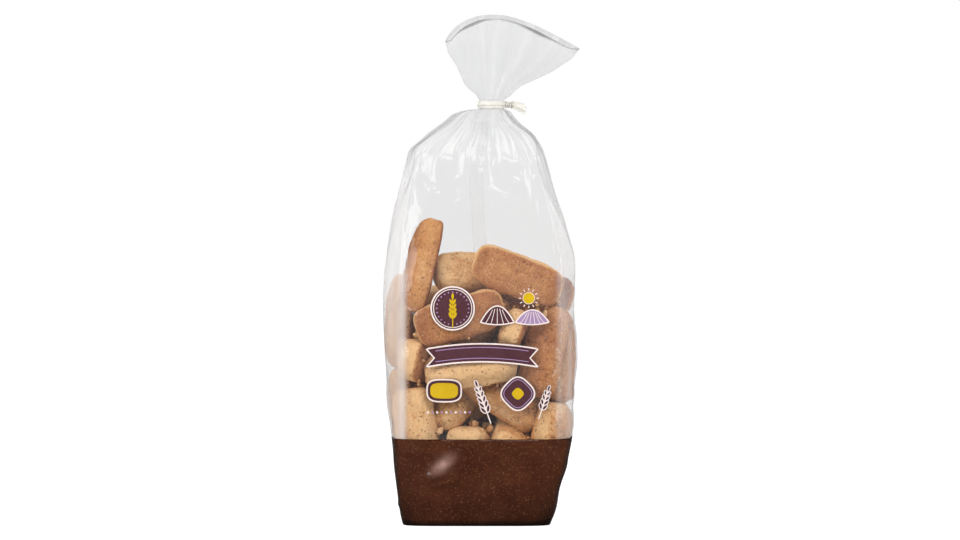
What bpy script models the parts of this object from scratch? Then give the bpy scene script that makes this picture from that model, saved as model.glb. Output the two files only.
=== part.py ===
"""A clear, side-gusseted film bag of wholemeal shortbread biscuits, tied shut at the neck.

Two solids: the filled bag, from its flat block bottom up through the gathered neck to the
fanned-out film above it, and the twist tie round the neck. Metres, +Z up, the front
towards -Y, and the origin under the middle of the bag, on the surface it stands on.
"""

import math
from typing import NamedTuple

import bmesh
import bpy
import numpy as np
from mathutils import Matrix, Vector

MM = 0.001

# Driving dimensions, in millimetres.
NECK_CENTRE_X = 8.0
NECK_BOTTOM = 270.2
NECK_TOP = 275.8
NECK_HALF_WIDTH = 7.6
NECK_HALF_DEPTH = 6.2
TIE_GAP = 0.5
TIE_WIDTH = 4.6
TIE_THICKNESS = 1.1
TIE_MIDDLE = 273.0
TIE_SEGMENTS = 48

# How finely the film is divided.
COLUMNS = 96
BASE_EDGE_HEIGHTS = (0.0, 0.5, 1.6, 4.0)
BODY_FROM, SHOULDER_FROM = 8.0, 240.0
BODY_RINGS = 24
SHOULDER_RINGS = 7
NECK_RINGS = 4
FAN_RINGS = 8


class Station(NamedTuple):
    """One level of the filled bag, in millimetres. boxiness is the section's exponent: 2 is an ellipse."""

    height: float
    left: float
    right: float
    half_depth: float
    boxiness: float


STATIONS = (
    Station(0.0, -48.4, 44.6, 28.5, 5.5),
    Station(1.6, -50.0, 46.4, 30.2, 5.5),
    Station(8.0, -53.4, 50.0, 32.6, 5.2),
    Station(22.0, -55.6, 51.8, 34.8, 4.8),
    Station(38.0, -57.0, 55.8, 36.4, 4.6),
    Station(46.0, -57.4, 58.0, 37.2, 4.4),
    Station(75.0, -58.8, 61.6, 38.4, 4.2),
    Station(110.0, -62.0, 62.8, 39.2, 4.0),
    Station(145.0, -63.8, 62.8, 38.6, 3.8),
    Station(170.0, -62.4, 64.0, 36.6, 3.5),
    Station(195.0, -61.4, 59.0, 33.0, 3.2),
    Station(220.0, -57.0, 52.8, 27.8, 3.0),
    Station(242.0, -51.4, 45.6, 21.8, 2.8),
    Station(252.0, -39.0, 37.8, 17.4, 2.5),
    Station(263.0, -23.4, 24.2, 12.2, 2.2),
    Station(269.4, -12.0, 17.6, 9.0, 2.1),
)

# The gusset: the film folds inwards down the middle of each side, above the biscuits.
GUSSET_FROM, GUSSET_DEEPEST, GUSSET_TO = 160.0, 232.0, 262.0
GUSSET_DEPTH = 11.0
GUSSET_REACH = 0.6

# The biscuits press the film out here and there between these two heights.
LUMPS_FROM, LUMPS_TO = 14.0, 196.0
LUMP_FADE = 20.0
LUMP_DEPTH = 1.3
LUMP_PITCH = 46.0

# The pleats that gather the film into the neck, and open again above it.
PLEATS = 15
PLEATS_FROM = 196.0
PLEAT_DEPTH_SHOULDER = 2.2
PLEAT_DEPTH_NECK = 0.45
PLEAT_SHARE_RIM = 0.3
PLEAT_WANDER = 0.55

# The fan above the tie: its film runs straight out from the neck to an arched rim.
FAN_RIGHT_ANGLE, FAN_LEFT_ANGLE = math.radians(31.0), math.radians(129.0)
FAN_RIGHT_LENGTH, FAN_CREST_LENGTH, FAN_LEFT_LENGTH = 65.0, 56.8, 48.0
FAN_HALF_DEPTH = 12.5
FAN_TIP_HALF_DEPTH = 1.6
FAN_FRONT_DROP = 3.6
FAN_PUFF_LEFT, FAN_PUFF_RIGHT = 0.6, 0.86
FAN_HOLLOW_FROM = 0.91
FAN_HOLLOW_WIDTH, FAN_HOLLOW_DEPTH = 0.96, 0.5

# The tie's twisted stem and its two loose ends.
STEM_START = NECK_CENTRE_X + NECK_HALF_WIDTH + PLEAT_DEPTH_NECK + TIE_GAP + 0.3
STEM_LENGTH = 4.4
STEM_HALF_TURNS = 1.5
STEM_WAIST = 0.17
STEM_SECTIONS = 18
TAIL_SECTIONS = 8
TAIL_THICKNESS = 0.9
TAIL_OVERLAP = 0.9
TAIL_REACH = (9.6, 8.0)
TAIL_SIDE = (-1.6, 4.6)
TAIL_RISE = (-3.4, -0.8)


def smooth_step(value):
    """0 below 0, 1 above 1, and level at both ends."""
    share = np.clip(value, 0.0, 1.0)
    return share * share * (3.0 - 2.0 * share)


def through_stations(height, name):
    """A station measure at any height, on a cubic that never overshoots a station."""
    knots = np.array([station.height for station in STATIONS])
    values = np.array([getattr(station, name) for station in STATIONS])
    rise = np.diff(values) / np.diff(knots)
    slopes = np.zeros(len(knots))
    slopes[0], slopes[-1] = rise[0], rise[-1]
    for index in range(1, len(knots) - 1):
        before, after = rise[index - 1], rise[index]
        if before * after > 0:
            slopes[index] = 2.0 * before * after / (before + after)
    index = int(np.clip(np.searchsorted(knots, height) - 1, 0, len(knots) - 2))
    span = knots[index + 1] - knots[index]
    share = min(max((height - knots[index]) / span, 0.0), 1.0)
    square, cube = share**2, share**3
    return (
        values[index] * (2 * cube - 3 * square + 1)
        + slopes[index] * span * (cube - 2 * square + share)
        + values[index + 1] * (3 * square - 2 * cube)
        + slopes[index + 1] * span * (cube - square)
    )


def column_angles():
    """The angle of each film column round the bag: 0 at +X, a quarter turn at +Y."""
    return np.arange(COLUMNS) * math.tau / COLUMNS


def pleat_wave(angles):
    """The pleats round the bag, from -1 to 1, of uneven width, with narrow crests and wide hollows."""
    wandering = PLEAT_WANDER * np.sin(3.0 * angles + 0.7) + 0.4 * np.sin(5.0 * angles + 2.1)
    wave = np.sin(PLEATS * angles + wandering)
    return 0.8 * wave + 0.2 * np.cos(2.0 * (PLEATS * angles + wandering))


def gusset_depth(height):
    """How far the side folds reach inwards at this height."""
    opening = smooth_step((height - GUSSET_FROM) / (GUSSET_DEEPEST - GUSSET_FROM))
    closing = smooth_step((GUSSET_TO - height) / (GUSSET_TO - GUSSET_DEEPEST))
    return GUSSET_DEPTH * float(opening * closing)


def lumps(angles, height):
    """How far the biscuits press the film out all round at this height."""
    fade_in = smooth_step((height - LUMPS_FROM) / LUMP_FADE)
    fade_out = smooth_step((LUMPS_TO - height) / LUMP_FADE)
    rise = height * math.tau / LUMP_PITCH
    waves = np.sin(7.0 * angles + rise + 0.4) + np.sin(10.0 * angles - 0.8 * rise + 2.0)
    waves += np.sin(4.0 * angles - 1.3 * rise + 4.4)
    return LUMP_DEPTH * float(fade_in * fade_out) * waves / 3.0


def box_section(angles, boxiness):
    """Unit outline between an ellipse and a box, evenly spread round the bag."""
    along, across = np.cos(angles), np.sin(angles)
    reach = (np.abs(along) ** boxiness + np.abs(across) ** boxiness) ** (-1.0 / boxiness)
    return along * reach, across * reach


def body_ring(height):
    """The film's outline at one height, as a list of points."""
    angles = column_angles()
    left, right = through_stations(height, "left"), through_stations(height, "right")
    depth = through_stations(height, "half_depth")
    along, across = box_section(angles, through_stations(height, "boxiness"))
    top = STATIONS[-1].height
    pleats = PLEAT_DEPTH_SHOULDER * smooth_step((height - PLEATS_FROM) / (top - PLEATS_FROM))
    relief = pleats * pleat_wave(angles) + lumps(angles, height)
    centre, half_width = 0.5 * (left + right), 0.5 * (right - left)
    fold = gusset_depth(height) * np.clip(1.0 - np.abs(across) / GUSSET_REACH, 0.0, 1.0)
    x = centre + along * (half_width + relief) - np.sign(along) * fold
    y = across * (depth + relief)
    return np.stack([x, y, np.full(COLUMNS, height)], axis=1)


def neck_ring(height):
    """The gathered film at one height inside the tie."""
    angles = column_angles()
    swell = PLEAT_DEPTH_NECK * pleat_wave(angles)
    x = NECK_CENTRE_X + np.cos(angles) * (NECK_HALF_WIDTH + swell)
    y = np.sin(angles) * (NECK_HALF_DEPTH + swell)
    return np.stack([x, y, np.full(COLUMNS, height)], axis=1)


def fan_rim():
    """The cut edge of the film above the tie, an arch seen from the front and a slim loop from above."""
    angles = column_angles()
    along = np.cos(angles)
    middle = 0.5 * (FAN_RIGHT_ANGLE + FAN_LEFT_ANGLE)
    half_spread = 0.5 * (FAN_LEFT_ANGLE - FAN_RIGHT_ANGLE)
    slope = middle - along * half_spread
    longer = (FAN_RIGHT_LENGTH - FAN_CREST_LENGTH) * along**4
    shorter = (FAN_LEFT_LENGTH - FAN_CREST_LENGTH) * along**2
    reach = FAN_CREST_LENGTH + np.where(along > 0, longer, shorter)
    front = np.clip(-np.sin(angles), 0.0, 1.0)
    reach = reach - FAN_FRONT_DROP * smooth_step(front * 2.0)
    depth = FAN_TIP_HALF_DEPTH + (FAN_HALF_DEPTH - FAN_TIP_HALF_DEPTH) * (1.0 - along**2)
    x = NECK_CENTRE_X + np.cos(slope) * reach
    y = np.sin(angles) * depth * (1.0 + PLEAT_SHARE_RIM * pleat_wave(angles))
    z = NECK_TOP + np.sin(slope) * reach
    return np.stack([x, y, z], axis=1)


def fan_ring(share):
    """A line of the fan, from the neck at share 0 to its rim at share 1."""
    start, end = neck_ring(NECK_TOP), fan_rim()
    leftness = smooth_step(0.5 - 0.5 * np.cos(column_angles()))
    puff = FAN_PUFF_RIGHT + (FAN_PUFF_LEFT - FAN_PUFF_RIGHT) * leftness
    x = start[:, 0] + (end[:, 0] - start[:, 0]) * share**puff
    y = start[:, 1] + (end[:, 1] - start[:, 1]) * share
    z = start[:, 2] + (end[:, 2] - start[:, 2]) * share
    return np.stack([x, y, z], axis=1)


def fan_floor():
    """The bottom of the hollow between the fan's front and back film."""
    ring = fan_ring(FAN_HOLLOW_FROM)
    x = NECK_CENTRE_X + (ring[:, 0] - NECK_CENTRE_X) * FAN_HOLLOW_WIDTH
    return np.stack([x, ring[:, 1] * FAN_HOLLOW_DEPTH, ring[:, 2]], axis=1)


def bag_rings():
    """Every outline of the bag, from its base up to the fan's rim and down into its hollow."""
    heights = list(BASE_EDGE_HEIGHTS) + list(np.linspace(BODY_FROM, SHOULDER_FROM, BODY_RINGS))
    heights += list(np.linspace(SHOULDER_FROM, STATIONS[-1].height, SHOULDER_RINGS + 1)[1:])
    rings = [body_ring(height) for height in heights]
    rings += [neck_ring(height) for height in np.linspace(NECK_BOTTOM, NECK_TOP, NECK_RINGS)]
    rings += [fan_ring(share) for share in np.linspace(0.0, 1.0, FAN_RINGS + 1)[1:]]
    return rings + [fan_floor()]


def loft(name, rings, close_top):
    """A closed solid through rings of equal length, whose last ring close_top fills in."""
    mesh = bmesh.new()
    loops = [[mesh.verts.new(Vector(point) * MM) for point in ring] for ring in rings]
    for lower, upper in zip(loops, loops[1:], strict=False):
        for index in range(len(lower)):
            after = (index + 1) % len(lower)
            mesh.faces.new((lower[index], lower[after], upper[after], upper[index]))
    mesh.faces.new(tuple(reversed(loops[0])))
    close_top(mesh, loops[-1])
    bmesh.ops.recalc_face_normals(mesh, faces=mesh.faces)
    data = bpy.data.meshes.new(name)
    mesh.to_mesh(data)
    mesh.free()
    return data


def close_flat(mesh, loop):
    """Closes a flat loop with one face."""
    mesh.faces.new(loop)


def close_slot(mesh, loop):
    """Closes a long, slim loop with rungs from its front edge to its back edge."""
    count = len(loop)
    for index in range(count // 2):
        corners = (loop[index], loop[index + 1], loop[-(index + 1) % count], loop[-index % count])
        mesh.faces.new(list(dict.fromkeys(corners)))


def plain_material(name, colour, roughness):
    """A Principled material of one colour."""
    material = bpy.data.materials.new(name)
    material.use_nodes = True
    shader = material.node_tree.nodes["Principled BSDF"]
    shader.inputs["Base Color"].default_value = (*colour, 1.0)
    shader.inputs["Roughness"].default_value = roughness
    return material


def placed(name, data, collection, material):
    """An object of this mesh in the collection, shaded smooth where it is round."""
    data.materials.append(material)
    data.shade_smooth()
    data.set_sharp_from_angle(angle=math.radians(50.0))
    thing = bpy.data.objects.new(name, data)
    collection.objects.link(thing)
    return thing


def ribbon_section(middle, across, outward, half_width, half_thickness):
    """Four corners of the tie's flat strip, in order round it."""
    return [
        middle + across * half_width * side + outward * half_thickness * face
        for side, face in ((-1, -1), (1, -1), (1, 1), (-1, 1))
    ]


def tie_band():
    """The loop of strip round the neck: an open tube, which Solidify thickens outwards."""
    reach_x = NECK_HALF_WIDTH + PLEAT_DEPTH_NECK + TIE_GAP
    reach_y = NECK_HALF_DEPTH + PLEAT_DEPTH_NECK + TIE_GAP
    middle = Vector((NECK_CENTRE_X, 0.0, TIE_MIDDLE))
    placing = Matrix.Translation(middle * MM) @ Matrix.Diagonal((reach_x * MM, reach_y * MM, MM, 1.0))
    mesh = bmesh.new()
    bmesh.ops.create_cone(
        mesh, cap_ends=False, segments=TIE_SEGMENTS, radius1=1.0, radius2=1.0, depth=TIE_WIDTH, matrix=placing
    )
    data = bpy.data.meshes.new("tie")
    mesh.to_mesh(data)
    mesh.free()
    return data


def tie_stem():
    """The strip's two ends twisted together, as one ribbed bar along +X."""
    rings = []
    for step in range(STEM_SECTIONS + 1):
        share = step / STEM_SECTIONS
        turn = share * STEM_HALF_TURNS * math.pi
        width = TIE_WIDTH * (0.5 - STEM_WAIST * math.sin(share * math.pi))
        across = Vector((0.0, math.sin(turn), math.cos(turn)))
        outward = Vector((0.0, math.cos(turn), -math.sin(turn)))
        centre = Vector((STEM_START + share * STEM_LENGTH, 0.0, TIE_MIDDLE))
        rings.append(ribbon_section(centre, across, outward, width, TIE_THICKNESS))
    return loft("tie_stem", rings, close_flat)


def tie_tail(reach, side, rise):
    """One loose end, curving away from the twisted stem."""
    start = STEM_START + STEM_LENGTH - TAIL_OVERLAP
    rings = []
    for step in range(TAIL_SECTIONS + 1):
        share = step / TAIL_SECTIONS
        bend = share * share
        centre = Vector((start + share * reach, side * bend, TIE_MIDDLE + rise * bend))
        heading = Vector((reach, 2.0 * side * share, 2.0 * rise * share)).normalized()
        outward = Vector((0.0, 0.0, 1.0)).cross(heading).normalized()
        across = heading.cross(outward)
        rings.append(ribbon_section(centre, across, outward, TIE_WIDTH * 0.5, TAIL_THICKNESS * 0.5))
    return loft("tie_tail", rings, close_flat)


def joined(base, others, name):
    """Fuses the others onto the base object by one Boolean union, and removes them."""
    helpers = bpy.data.collections.new(name + "_pieces")
    bpy.context.scene.collection.children.link(helpers)
    for other in others:
        helpers.objects.link(other)
    union = base.modifiers.new("union", "BOOLEAN")
    union.operation = "UNION"
    union.operand_type = "COLLECTION"
    union.collection = helpers
    union.solver = "EXACT"
    graph = bpy.context.evaluated_depsgraph_get()
    data = bpy.data.meshes.new_from_object(base.evaluated_get(graph))
    base.modifiers.clear()
    base.data = data
    data.name = name
    for other in others:
        bpy.data.objects.remove(other)
    bpy.data.collections.remove(helpers)


def clear_scene():
    """Removes whatever the startup scene holds."""
    for thing in list(bpy.data.objects):
        bpy.data.objects.remove(thing)


def build_bag(collection):
    """The filled bag, as one solid."""
    film = plain_material("clear_film", (0.80, 0.74, 0.68), 0.2)
    placed("bag", loft("bag", bag_rings(), close_slot), collection, film)


def build_tie(collection):
    """The twist tie: a band round the neck, a twisted stem and two loose ends."""
    strip = plain_material("tie_plastic", (0.86, 0.85, 0.82), 0.45)
    band = placed("tie", tie_band(), collection, strip)
    wall = band.modifiers.new("wall", "SOLIDIFY")
    wall.thickness = TIE_THICKNESS * MM
    wall.offset = 1.0
    pieces = [bpy.data.objects.new("stem", tie_stem())]
    for reach, side, rise in zip(TAIL_REACH, TAIL_SIDE, TAIL_RISE, strict=True):
        pieces.append(bpy.data.objects.new("tail", tie_tail(reach, side, rise)))
    joined(band, pieces, "tie")


def main():
    """Builds the tied bag in a collection of its own."""
    clear_scene()
    collection = bpy.data.collections.new("biscuit_bag")
    bpy.context.scene.collection.children.link(collection)
    build_bag(collection)
    build_tie(collection)


main()
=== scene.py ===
"""The looks of a clear, tied film bag of wholemeal shortbread biscuits.

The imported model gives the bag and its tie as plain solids. Here the bag becomes what it is: a
thin, creased, see-through film draped over a heap of biscuits, with a speckled brown foot, a
printed front, a gathered neck and an open fan above a twist tie. The classes hold their sizes
in millimetres, the meshes are in metres, and the front of the bag faces -Y.
"""

import logging
import math
from dataclasses import dataclass, field
from enum import Enum

import bmesh
import bpy
import numpy as np
from bpy.types import Material, Node, NodeSocket, NodeTree, Object
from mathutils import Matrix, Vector
from mathutils.bvhtree import BVHTree
from mathutils.geometry import delaunay_2d_cdt


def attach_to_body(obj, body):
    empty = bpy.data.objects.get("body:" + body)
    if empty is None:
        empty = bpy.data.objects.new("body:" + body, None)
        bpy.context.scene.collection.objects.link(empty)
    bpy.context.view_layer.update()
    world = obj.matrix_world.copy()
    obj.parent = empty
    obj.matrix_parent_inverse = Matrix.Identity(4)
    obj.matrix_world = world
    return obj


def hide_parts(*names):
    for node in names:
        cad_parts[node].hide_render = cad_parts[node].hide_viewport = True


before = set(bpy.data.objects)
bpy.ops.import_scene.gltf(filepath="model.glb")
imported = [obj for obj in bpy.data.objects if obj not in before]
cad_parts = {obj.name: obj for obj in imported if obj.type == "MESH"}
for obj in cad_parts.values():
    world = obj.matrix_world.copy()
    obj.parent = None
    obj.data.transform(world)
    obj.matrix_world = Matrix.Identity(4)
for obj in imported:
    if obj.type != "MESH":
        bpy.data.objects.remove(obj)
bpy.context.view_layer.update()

Array = np.ndarray
Pair = tuple[float, float]
Triple = tuple[float, float, float]

MM = 0.001
BODY = "root"
LOG = logging.getLogger("biscuit_bag")


class Slot(Enum):
    """The record's material slots."""

    FILM = "clear_film"
    FOOT = "printed_film"
    INK = "print_ink"
    BISCUIT = "biscuit"
    TIE = "tie_strip"


# ---- shared tools


def ease(value: Array | float) -> Array:
    """Eases from 0 at 0 to 1 at 1, level at both ends and beyond them."""
    share = np.clip(value, 0.0, 1.0)
    return share * share * (3.0 - 2.0 * share)


def unit(vectors: Array) -> Array:
    """Scales vectors to length 1; the last axis of the array holds x, y and z."""
    return vectors / np.maximum(np.linalg.norm(vectors, axis=-1, keepdims=True), 1e-9)


def through_knots(knots: Array, values: Array, where: Array) -> Array:
    """Reads a smooth curve that passes through knots and never overshoots one.

    Args:
        knots: rising positions of the knots.
        values: the curve's value at each knot.
        where: the positions to read.

    Returns:
        The curve's value at each position.
    """
    rise = np.diff(values) / np.diff(knots)
    slopes = np.zeros(len(knots))
    slopes[0], slopes[-1] = rise[0], rise[-1]
    same_way = rise[:-1] * rise[1:] > 0
    total = np.where(same_way, rise[:-1] + rise[1:], 1.0)
    slopes[1:-1] = np.where(same_way, 2.0 * rise[:-1] * rise[1:] / total, 0.0)
    index = np.clip(np.searchsorted(knots, where) - 1, 0, len(knots) - 2)
    span = knots[index + 1] - knots[index]
    share = np.clip((where - knots[index]) / span, 0.0, 1.0)
    square, cube = share**2, share**3
    return (
        values[index] * (2 * cube - 3 * square + 1)
        + slopes[index] * span * (cube - 2 * square + share)
        + values[index + 1] * (3 * square - 2 * cube)
        + slopes[index + 1] * span * (cube - square)
    )


class Noise:
    """Smooth noise over arrays of points, the same on every run."""

    TABLE = 4096
    PRIMES = (73856093, 19349663, 83492791)
    LAYER_SHIFT = 17.3

    def __init__(self, seed: int) -> None:
        """Draws the table of values that the noise reads, another one for each seed."""
        self.table = np.random.default_rng(seed).uniform(-1.0, 1.0, self.TABLE)

    def at(self, points: Array) -> Array:
        """Reads one layer of noise.

        Args:
            points: an array whose last axis holds x, y and z, in cells.

        Returns:
            A value between -1 and 1 at each point.
        """
        cell = np.floor(points).astype(np.int64)
        share = points - cell
        eased = share**3 * (share * (share * 6.0 - 15.0) + 10.0)
        total = np.zeros(points.shape[:-1])
        for corner in np.ndindex(2, 2, 2):
            at = cell + np.array(corner)
            mixed = np.bitwise_xor.reduce(at * np.array(self.PRIMES), axis=-1)
            weight = np.prod(np.where(np.array(corner) == 1, eased, 1.0 - eased), axis=-1)
            total += weight * self.table[mixed % self.TABLE]
        return total

    def layers(self, points: Array, count: int) -> Array:
        """Adds layers of noise, each half as large and half as strong as the one before.

        Args:
            points: an array whose last axis holds x, y and z, in cells of the first layer.
            count: how many layers.

        Returns:
            A value at each point, mostly between -1 and 1.
        """
        total = np.zeros(points.shape[:-1])
        for layer in range(count):
            total += self.at(points * 2.0**layer + self.LAYER_SHIFT * layer) * 0.5**layer
        return total


def make_object(name: str, points: Array, faces: Array | list, material: Material) -> Object:
    """Makes a smooth-shaded mesh object.

    Args:
        name: the piece's name.
        points: its points in millimetres, in the bag's frame.
        faces: the point numbers of each face, anticlockwise from outside.
        material: its finish.

    Returns:
        The object, linked to the scene.
    """
    data = bpy.data.meshes.new(name)
    corners = [list(map(int, face)) for face in faces]
    data.from_pydata((np.asarray(points) * MM).tolist(), [], corners)
    data.shade_smooth()
    data.materials.append(material)
    thing = bpy.data.objects.new(name, data)
    bpy.context.scene.collection.objects.link(thing)
    return thing


def set_attribute(thing: Object, name: str, values: Array) -> None:
    """Stores one number or vector for each point of a mesh, for its material to read.

    Args:
        thing: the mesh object.
        name: the attribute's name.
        values: one number, or one x, y and z, for each point.
    """
    vectors = np.ndim(values) == 2
    kind, key = ("FLOAT_VECTOR", "vector") if vectors else ("FLOAT", "value")
    attribute = thing.data.attributes.new(name, kind, "POINT")
    attribute.data.foreach_set(key, np.asarray(values, dtype=np.float32).ravel())


def tree_of(points: Array, faces: Array) -> BVHTree:
    """Builds a search tree over a mesh, to answer rays in millimetres."""
    return BVHTree.FromPolygons(np.asarray(points).tolist(), np.asarray(faces).tolist())


def ring_faces(rows: int, columns: int) -> Array:
    """Numbers the faces of a sheet that closes on itself.

    Args:
        rows: how many rings of points it has.
        columns: how many points each ring has.

    Returns:
        The faces.
    """
    row, column = np.meshgrid(np.arange(rows - 1), np.arange(columns), indexing="ij")
    after = (column + 1) % columns
    here, above = row * columns, (row + 1) * columns
    corners = [here + column, here + after, above + after, above + column]
    return np.stack(corners, axis=-1).reshape(-1, 4)


# ---- shader tools


class Effect(Enum):
    """The surface effects that more than one material uses, each a node group."""

    SPECKLE = "fine_speckle"
    MOTTLE = "soft_mottle"
    CRINKLE = "film_crinkle"


class Graph:
    """Adds and joins the nodes of one material or node group."""

    def __init__(self, tree: NodeTree) -> None:
        """Keeps the tree that the nodes go in."""
        self.tree = tree

    def feed(self, socket: NodeSocket, value: object) -> None:
        """Links or sets one input.

        Args:
            socket: the input.
            value: another node's output, or a plain value.
        """
        if isinstance(value, NodeSocket):
            self.tree.links.new(value, socket)
        else:
            socket.default_value = value

    def add(self, kind: str, inputs: dict | None = None, **settings: object) -> Node:
        """Adds a node.

        Args:
            kind: the node's type.
            inputs: what feeds each named or numbered input.
            settings: the node's own properties.

        Returns:
            The node.
        """
        node = self.tree.nodes.new(kind)
        for name, value in settings.items():
            setattr(node, name, value)
        for key, value in (inputs or {}).items():
            self.feed(node.inputs[key], value)
        return node

    def math(self, operation: str, *values: object, clamp: bool = False) -> NodeSocket:
        """Adds a Math node with its inputs in order, and gives its output."""
        inputs = dict(enumerate(values))
        return self.add("ShaderNodeMath", inputs, operation=operation, use_clamp=clamp).outputs[0]

    def blend(self, share: object, first: object, second: object, mode: str = "MIX") -> NodeSocket:
        """Adds a colour mix.

        Args:
            share: how much of the second colour shows.
            first: the colour at share 0.
            second: the colour at share 1.
            mode: how the two combine.

        Returns:
            The mixed colour.
        """
        node = self.add("ShaderNodeMix", data_type="RGBA", blend_type=mode)
        for key, value in (("Factor_Float", share), ("A_Color", first), ("B_Color", second)):
            self.feed(next(item for item in node.inputs if item.identifier == key), value)
        return next(item for item in node.outputs if item.identifier == "Result_Color")

    def ramp(self, value: object, low: float, high: float) -> NodeSocket:
        """Eases a value from 0 at low to 1 at high."""
        inputs = {"Value": value, "From Min": low, "From Max": high}
        return self.add("ShaderNodeMapRange", inputs, interpolation_type="SMOOTHSTEP").outputs[0]

    def read(self, name: str) -> Node:
        """Adds the node that reads the mesh's attribute of that name."""
        return self.add("ShaderNodeAttribute", attribute_name=name)

    def place(self) -> NodeSocket:
        """Gives the place on the piece, in metres."""
        return self.add("ShaderNodeTexCoord").outputs["Object"]

    def bump(self, height: NodeSocket, strength: float, distance: float) -> NodeSocket:
        """Bends the normal by a height."""
        return self.add(
            "ShaderNodeBump", {"Height": height, "Strength": strength, "Distance": distance}
        ).outputs[0]

    def effect(self, effect: Effect, place: NodeSocket, **numbers: float) -> NodeSocket:
        """Lays an effect on the given coordinates, with its numbers by name."""
        group = bpy.data.node_groups[effect.value]
        return self.add("ShaderNodeGroup", {"Vector": place, **numbers}, node_tree=group).outputs[0]

    def show(self, shader: Node, output: str = "ShaderNodeOutputMaterial") -> None:
        """Ends the graph with the shader that it shows."""
        self.add(output, {"Surface": shader.outputs[0]})


def start_group(effect: Effect, numbers: dict[str, float], output: str) -> tuple[Graph, dict]:
    """Starts the node group of an effect, which lies on the coordinates of its Vector input.

    Args:
        effect: which effect.
        numbers: its other inputs, with their defaults.
        output: the name of its one output, a number.

    Returns:
        The group's graph, and its input sockets by name.
    """
    tree = bpy.data.node_groups.new(effect.value, "ShaderNodeTree")
    tree.interface.new_socket("Vector", in_out="INPUT", socket_type="NodeSocketVector")
    for name, default in numbers.items():
        socket = tree.interface.new_socket(name, in_out="INPUT", socket_type="NodeSocketFloat")
        socket.default_value = default
    tree.interface.new_socket(output, in_out="OUTPUT", socket_type="NodeSocketFloat")
    graph = Graph(tree)
    return graph, dict(graph.add("NodeGroupInput").outputs.items())


def wander(graph: Graph, vector: object, scale: object, amount: float) -> NodeSocket:
    """Bends a pattern's coordinates, so that it isn't too even.

    Args:
        graph: the graph to add to.
        vector: the coordinates.
        scale: the pattern's scale.
        amount: how far they bend, in the pattern's cells.

    Returns:
        The bent coordinates.
    """
    noise = graph.add("ShaderNodeTexNoise", {"Vector": vector, "Scale": scale, "Detail": 1.0})
    kind, middle = "ShaderNodeVectorMath", (0.5, 0.5, 0.5)
    centred = graph.add(kind, {0: noise.outputs["Color"], 1: middle}, operation="SUBTRACT")
    reach = graph.math("DIVIDE", amount, scale)
    drift = graph.add(kind, {0: centred.outputs[0], "Scale": reach}, operation="SCALE")
    return graph.add(kind, {0: vector, 1: drift.outputs[0]}, operation="ADD").outputs[0]


def build_speckle() -> None:
    """Builds the group of separate little grains: 1 inside a grain and 0 between grains."""
    bend, core = 1.4, 0.6
    defaults = {"Scale": 1.0, "Size": 0.3, "Share": 0.5}
    graph, inputs = start_group(Effect.SPECKLE, defaults, "Mask")
    bent = wander(graph, inputs["Vector"], inputs["Scale"], bend)
    cells = graph.add("ShaderNodeTexVoronoi", {"Vector": bent, "Scale": inputs["Scale"]})
    inner = graph.math("MULTIPLY", inputs["Size"], core)
    near = graph.ramp(cells.outputs["Distance"], inputs["Size"], inner)
    draw = graph.add("ShaderNodeSeparateColor", {"Color": cells.outputs["Color"]})
    chosen = graph.math("LESS_THAN", draw.outputs["Red"], inputs["Share"])
    graph.add("NodeGroupOutput", {"Mask": graph.math("MULTIPLY", near, chosen)})


def build_mottle() -> None:
    """Builds the group of soft, cloudy unevenness, from 0 to 1."""
    graph, inputs = start_group(Effect.MOTTLE, {"Scale": 1.0, "Contrast": 1.0}, "Value")
    noise = {"Vector": inputs["Vector"], "Scale": inputs["Scale"], "Detail": 5.0, "Roughness": 0.6}
    clouds = graph.add("ShaderNodeTexNoise", noise)
    centred = graph.math("SUBTRACT", clouds.outputs["Fac"], 0.5)
    scaled = graph.math("MULTIPLY", centred, inputs["Contrast"])
    graph.add("NodeGroupOutput", {"Value": graph.math("ADD", scaled, 0.5, clamp=True)})


def build_crinkle() -> None:
    """Builds the group of fine, sharp creases that handling leaves in thin film, as a height."""
    bend, crease_width = 0.7, 0.14
    graph, inputs = start_group(Effect.CRINKLE, {"Scale": 1.0, "Fineness": 0.4}, "Height")
    bent = wander(graph, inputs["Vector"], inputs["Scale"], bend)
    cells = {"Vector": bent, "Scale": inputs["Scale"]}
    facets = graph.add("ShaderNodeTexVoronoi", cells, feature="DISTANCE_TO_EDGE")
    broad = graph.math("MINIMUM", facets.outputs["Distance"], crease_width)
    fine = graph.add("ShaderNodeTexNoise", {**cells, "Detail": 2.0})
    small = graph.math("MULTIPLY", fine.outputs["Fac"], inputs["Fineness"])
    graph.add("NodeGroupOutput", {"Height": graph.math("ADD", broad, small)})


def film_crinkle(graph: Graph, place: NodeSocket) -> NodeSocket:
    """Bends the normal with the film's fine creases, the same on its clear and printed parts."""
    creases = graph.effect(Effect.CRINKLE, place, Scale=75.0, Fineness=0.5)
    return graph.bump(creases, strength=0.3, distance=0.002)


def start_material(name: str) -> tuple[Graph, Material]:
    """Starts an empty material.

    Args:
        name: the material's name.

    Returns:
        Its graph and the material.
    """
    material = bpy.data.materials.new(name)
    material.use_nodes = True
    material.node_tree.nodes.clear()
    return Graph(material.node_tree), material


Colour = tuple[float, float, float, float]
WHITE: Colour = (1.0, 1.0, 1.0, 1.0)


def srgb(red: int, green: int, blue: int) -> Colour:
    """Turns a screen colour into the light values that shaders use.

    Args:
        red: from 0 to 255.
        green: from 0 to 255.
        blue: from 0 to 255.

    Returns:
        The linear colour, with alpha 1.
    """
    linear = []
    for value in (red / 255.0, green / 255.0, blue / 255.0):
        linear.append(value / 12.92 if value <= 0.04045 else ((value + 0.055) / 1.055) ** 2.4)
    return (*linear, 1.0)


# ---- finishes


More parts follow.
